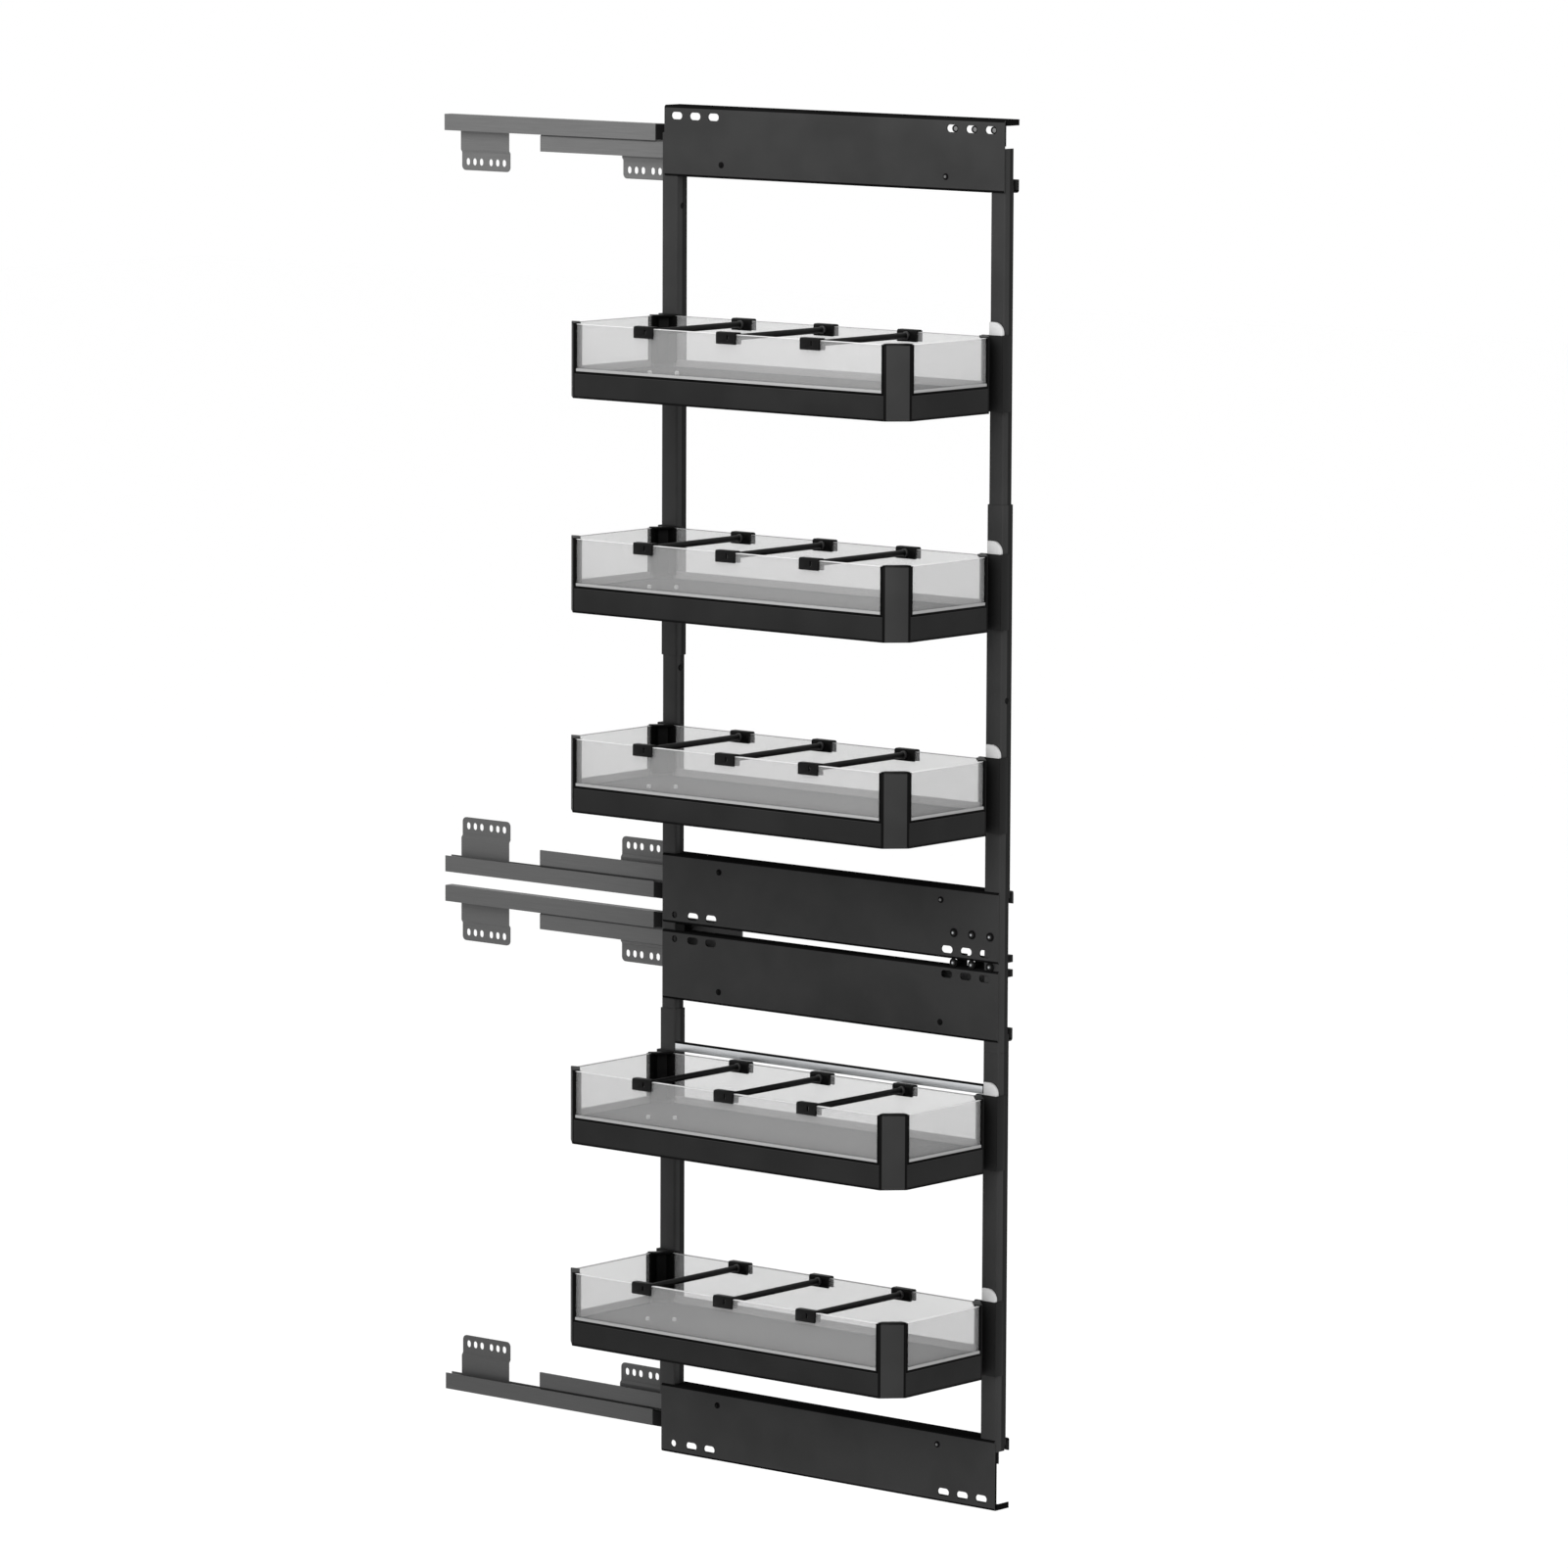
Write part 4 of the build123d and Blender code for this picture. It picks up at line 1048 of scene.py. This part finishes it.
def pane_seals():
    """Black channels and seals and pale beads that hold the panes; pale strips as painted highlight."""
    pieces = [soften(piece, SEAL_EASE) for piece in post_channels() + foot_strips()]
    made = dress(smooth(join("pane_seals", pieces)), seal_rubber)
    strip_foot = BASKET_LOW.z + RIM + TINY
    strip_top = BASKET_LOW.z + RIM + PALE + HAIR

    def is_pale(c, n):
        dx, dy = depths(c)
        in_channel = max(dx, dy) < LEG + RETURN + HAIR
        strip = c.z > strip_foot and min(dx, dy) < SEAL_BACK + HAIR
        bead = BEAD_FRONT - HAIR < min(dx, dy) < BEAD_BACK + HAIR
        return c.z < strip_top and (strip or bead) and not in_channel

    # The pale strips are painted highlight at the panes' foot; the beads are pale.
    return paint_faces(made, pale_bead_and_highlight_strip, is_pale)


def basket_panes():
    """Four panes with ground edges. The near top edges are painted light, the far ones painted shade."""
    low, high = box_of("basket_1_glass")
    short = PANE_END - PANE_SETBACK
    x0, x1, y0, y1 = low.x + short, high.x - short, low.y + short, high.y - short
    panes = [soften(box_piece("pane", a, b), EASE) for a, b in (
        ((x0, low.y, low.z), (x1, low.y + PANE, high.z)),
        ((x0, high.y - PANE, low.z), (x1, high.y, high.z)),
        ((low.x, y0, low.z), (low.x + PANE, y1, high.z)),
        ((high.x - PANE, y0, low.z), (high.x, y1, high.z)),
    )]
    made = dress(join("panes", panes), glass)

    def on_top(c, n):
        return n.z > UPWARDS and c.z > high.z - PANE_TOP

    paint_faces(made, lit_pane_edge, on_top)
    paint_faces(made, shaded_pane_edge, lambda c, n: on_top(c, n) and (c.y > high.y - PANE or c.x < low.x + PANE))
    return smooth(made)


# Floor and dividers. A floor screw has its place along X and its distance from the near side.

FLOOR_DROP = 3.2 * MM
FLOOR_INSET = 6.2 * MM
FLOOR_EASE = 0.6 * MM
FLOOR_SCREWS = ((111 * MM, 59 * MM), (134 * MM, 74 * MM))
FLOOR_SCREW_RADIUS = 2.2 * MM
FLOOR_SCREW_HEIGHT = 4 * MM
FLOOR_SCREW_RISE = 1.7 * MM
FLOOR_SCREW_ROUND = 1.4 * MM
CLIP_OUTER_LEG = 2.7 * MM
CLIP_INNER_LEG = 3.4 * MM
CLIP_ROUND = 2.2 * MM
GROOVE = (2.4 * MM, 7 * MM)
GROOVE_ROOF = 1.7 * MM
SLIT_X = (14 * MM, 16 * MM)
SLIT_Z = (4 * MM, 9 * MM)
ROD_RADIUS = 3.2 * MM
ROD_SINK = 2 * MM
COLLAR_RADIUS = 4.2 * MM
COLLAR_LENGTH = 3 * MM
COLLAR_RISE = 1 * MM


def basket_floor():
    """The floor panel with eased edges and the two bright domed screws near its rear end."""
    low, high = box_of("basket_1_floor")
    high.z -= FLOOR_DROP
    panel = cut_corners(box_piece("panel", low, high), LEG - FLOOR_INSET * (2 - sqrt(2)))
    pieces = [dress(soften(panel, FLOOR_EASE), board)]
    for x, inset in FLOOR_SCREWS:
        head = round_piece("floor_screw", (x, low.y + inset, high.z + FLOOR_SCREW_RISE), FLOOR_SCREW_RADIUS,
                           FLOOR_SCREW_HEIGHT, "Z", 20)
        bevel(head, FLOOR_SCREW_ROUND, 3, lambda a, b: min(a.z, b.z) > high.z)
        pieces.append(dress(head, pale_plastic))
    return smooth(join("floor_panel", pieces))


def divider_clip(low, high, y, way):
    """A moulded clip that sits over a pane, with a groove below and a slit for its thumb rib."""
    back = y + way * (CLIP_OUTER_LEG + PANE + CLIP_INNER_LEG)
    clip = box_piece("clip", (low.x, y, low.z), (high.x, back, high.z))
    bevel(clip, CLIP_ROUND, 4, lambda a, b: abs(a.x - b.x) > 10 * MM and min(a.z, b.z) > high.z - TINY)
    groove = box_piece("cutter", (low.x - CUT_PLAY, y + way * GROOVE[0], low.z - CUT_PLAY),
                       (high.x + CUT_PLAY, y + way * GROOVE[1], high.z - GROOVE_ROOF))
    slit = box_piece("cutter", (low.x + SLIT_X[0], y - way * CUT_PLAY, low.z + SLIT_Z[0]),
                     (low.x + SLIT_X[1], back + way * CUT_PLAY, low.z + SLIT_Z[1]))
    return soften(cut(clip, [groove, slit]), SMALL_EASE), back


def divider(node):
    """A rod between two clips, with a collar at each end, painted lighter than the rod as a highlight."""
    low, high = box_of(node)
    middle = (low + high) / 2
    black, collars, backs = [], [], []
    for y, way in ((low.y, 1), (high.y, -1)):
        clip, back = divider_clip(low, high, y, way)
        black.append(clip)
        backs.append(back)
        collar = round_piece("collar", (middle.x, back + way * COLLAR_RISE, middle.z), COLLAR_RADIUS,
                             COLLAR_LENGTH, "Y", 24)
        collars.append(dress(smooth(soften(collar, EASE)), collar_highlight_plastic))
    length = backs[1] - backs[0] + 2 * ROD_SINK
    black.append(round_piece("rod", middle, ROD_RADIUS, length, "Y", 24))
    body = dress(smooth(join("divider", black)), divider_plastic)
    return join("divider", [body] + collars)


# Hangers and lock clips

LOCK_CLIP_TRIM = 4 * MM
LOCK_CLIP_HEIGHT = 13 * MM
LOCK_CLIP_ROUND = 11 * MM
LOCK_CLIP_ROUND_STEPS = 8
HANGER_SHEET = 3.5 * MM
HANGER_REACH = 26 * MM
CHEEK = 1.2 * MM
HANGERS_LOW, HANGERS_HIGH = box_of("basket_hangers")
CLIPS_LOW, CLIPS_HIGH = box_of("basket_lock_clips")


def lock_clip(foot):
    """The pale clip on the front hanger, with one round corner."""
    low = Vector((CLIPS_LOW.x + LOCK_CLIP_TRIM, CLIPS_LOW.y, foot + POST))
    high = Vector((CLIPS_HIGH.x, CLIPS_HIGH.y, foot + POST + LOCK_CLIP_HEIGHT))
    clip = box_piece("lock_clip", low, high)
    bevel(clip, LOCK_CLIP_ROUND, LOCK_CLIP_ROUND_STEPS, lambda a, b: abs(a.y - b.y) > 2 * MM
          and min(a.x, b.x) > high.x - TINY and min(a.z, b.z) > high.z - TINY)
    return soften(clip, EASE)


def hanger(foot, front):
    """The black bracket that hangs a basket on an upright: a plate and a cheek beside the upright."""
    low, high = HANGERS_LOW, HANGERS_HIGH
    if front:
        side, edge, reach = high.x, high.x - CHEEK, BASKET_HIGH.x - HANGER_REACH
    else:
        side, edge, reach = low.x, low.x + CHEEK, BASKET_LOW.x + HANGER_REACH
    plate = box_piece("plate", (reach, low.y, foot), (edge, low.y + HANGER_SHEET, foot + POST))
    cheek = box_piece("cheek", (edge, low.y, foot), (side, high.y, foot + POST))
    return [soften(plate, EASE), soften(cheek, FINE_EASE)]


# The five baskets, each a copy of the first, with their hangers and clips

def baskets():
    """Seats every basket's pieces at its height."""
    steel, seals, panes, panel = basket_steel(), pane_seals(), basket_panes(), basket_floor()
    rods = [divider("basket_1_divider_%d" % i) for i in DIVIDERS]
    hangers, clips = [], []
    for number in BASKETS:
        prefix = "basket_%d_" % number
        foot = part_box(prefix + "frame")[0][2]
        move = (0, 0, foot - BASKET_LOW.z)
        seat(copy_of(steel, prefix + "rim_and_posts", move), "frame", [prefix + "frame"])
        seat(copy_of(seals, prefix + "pane_seals", move), "frame")
        seat(copy_of(panes, prefix + "panes", move), "frame", [prefix + "glass"])
        seat(copy_of(panel, prefix + "floor_panel", move), "frame", [prefix + "floor"])
        for i, rod in zip(DIVIDERS, rods):
            body = prefix + "divider_%d" % i
            seat(copy_of(rod, prefix + "divider_rod_%d" % i, move), body, [body])
        hangers += hanger(foot, front=False) + hanger(foot, front=True)
        clips.append(lock_clip(foot))
    for source in [steel, seals, panes, panel] + rods:
        bpy.data.objects.remove(source)
    seat(dress(smooth(join("basket_hanger_set", hangers)), hanger_plastic), "frame",
         ["basket_hangers"])
    seat(dress(smooth(join("basket_lock_clip_set", clips)), pale_plastic), "frame",
         ["basket_lock_clips"])


baskets()


# Studio. The camera stands where the photo's straight edges put it, on a long lens.

FLOOR_Z = -0.7
FLOOR_SIZE = 40
SENSOR_MM = 36
PHOTO_WIDTH = 1601
FOCAL_PIXELS = 8530
CAMERA_PLACE = (5.6380, -6.4663, 1.7369)
CAMERA_RIGHT = (0.76411, 0.64507, 0.00421)
CAMERA_FORWARD = (-0.63929, 0.75810, -0.12880)
CAMERA_REACH = 100
LIGHTS = (
    ("key_light", (0.75, -1.6, 2.2), (0.25, -0.05, 1.1), 1.2, 28),
    ("front_light", (1.4, -3.6, 1.6), (0.2, -0.1, 0.8), 2.0, 26),
)


def studio_floor():
    """A plain pale floor below the frame."""
    floor = plane_piece("studio_floor", (0, 0, FLOOR_Z), FLOOR_SIZE)
    dress(floor, painted_studio_floor("studio_floor_paint", "#ffffff"))


def studio_light():
    """Even white air and two soft lamps, each with its place, aim, size and watts."""
    world = bpy.data.worlds.new("studio_air")
    bpy.context.scene.world = world
    world.use_nodes = True
    world.node_tree.nodes["Background"].inputs["Color"].default_value = (1, 1, 1, 1)
    world.node_tree.nodes["Background"].inputs["Strength"].default_value = 1.0
    for name, place, aim, size, power in LIGHTS:
        lamp = bpy.data.lights.new(name, "AREA")
        lamp.size = size
        lamp.energy = power
        holder = bpy.data.objects.new(name, lamp)
        bpy.context.collection.objects.link(holder)
        holder.location = place
        direction = Vector(aim) - Vector(place)
        holder.rotation_euler = direction.to_track_quat("-Z", "Y").to_euler()


def photo_camera():
    """The camera at the photo's angle, with no depth of field."""
    view = bpy.data.cameras.new("photo_camera")
    view.sensor_width = SENSOR_MM
    view.lens = FOCAL_PIXELS / PHOTO_WIDTH * SENSOR_MM
    view.clip_end = CAMERA_REACH
    camera = bpy.data.objects.new("photo_camera", view)
    bpy.context.collection.objects.link(camera)
    forward = Vector(CAMERA_FORWARD).normalized()
    up = Vector(CAMERA_RIGHT).cross(forward).normalized()
    right = forward.cross(up)
    turn = Matrix((right, up, -forward)).transposed().to_4x4()
    camera.matrix_world = Matrix.Translation(CAMERA_PLACE) @ turn
    bpy.context.scene.camera = camera


studio_floor()
studio_light()
photo_camera()
bpy.context.scene.view_settings.view_transform = "Standard"
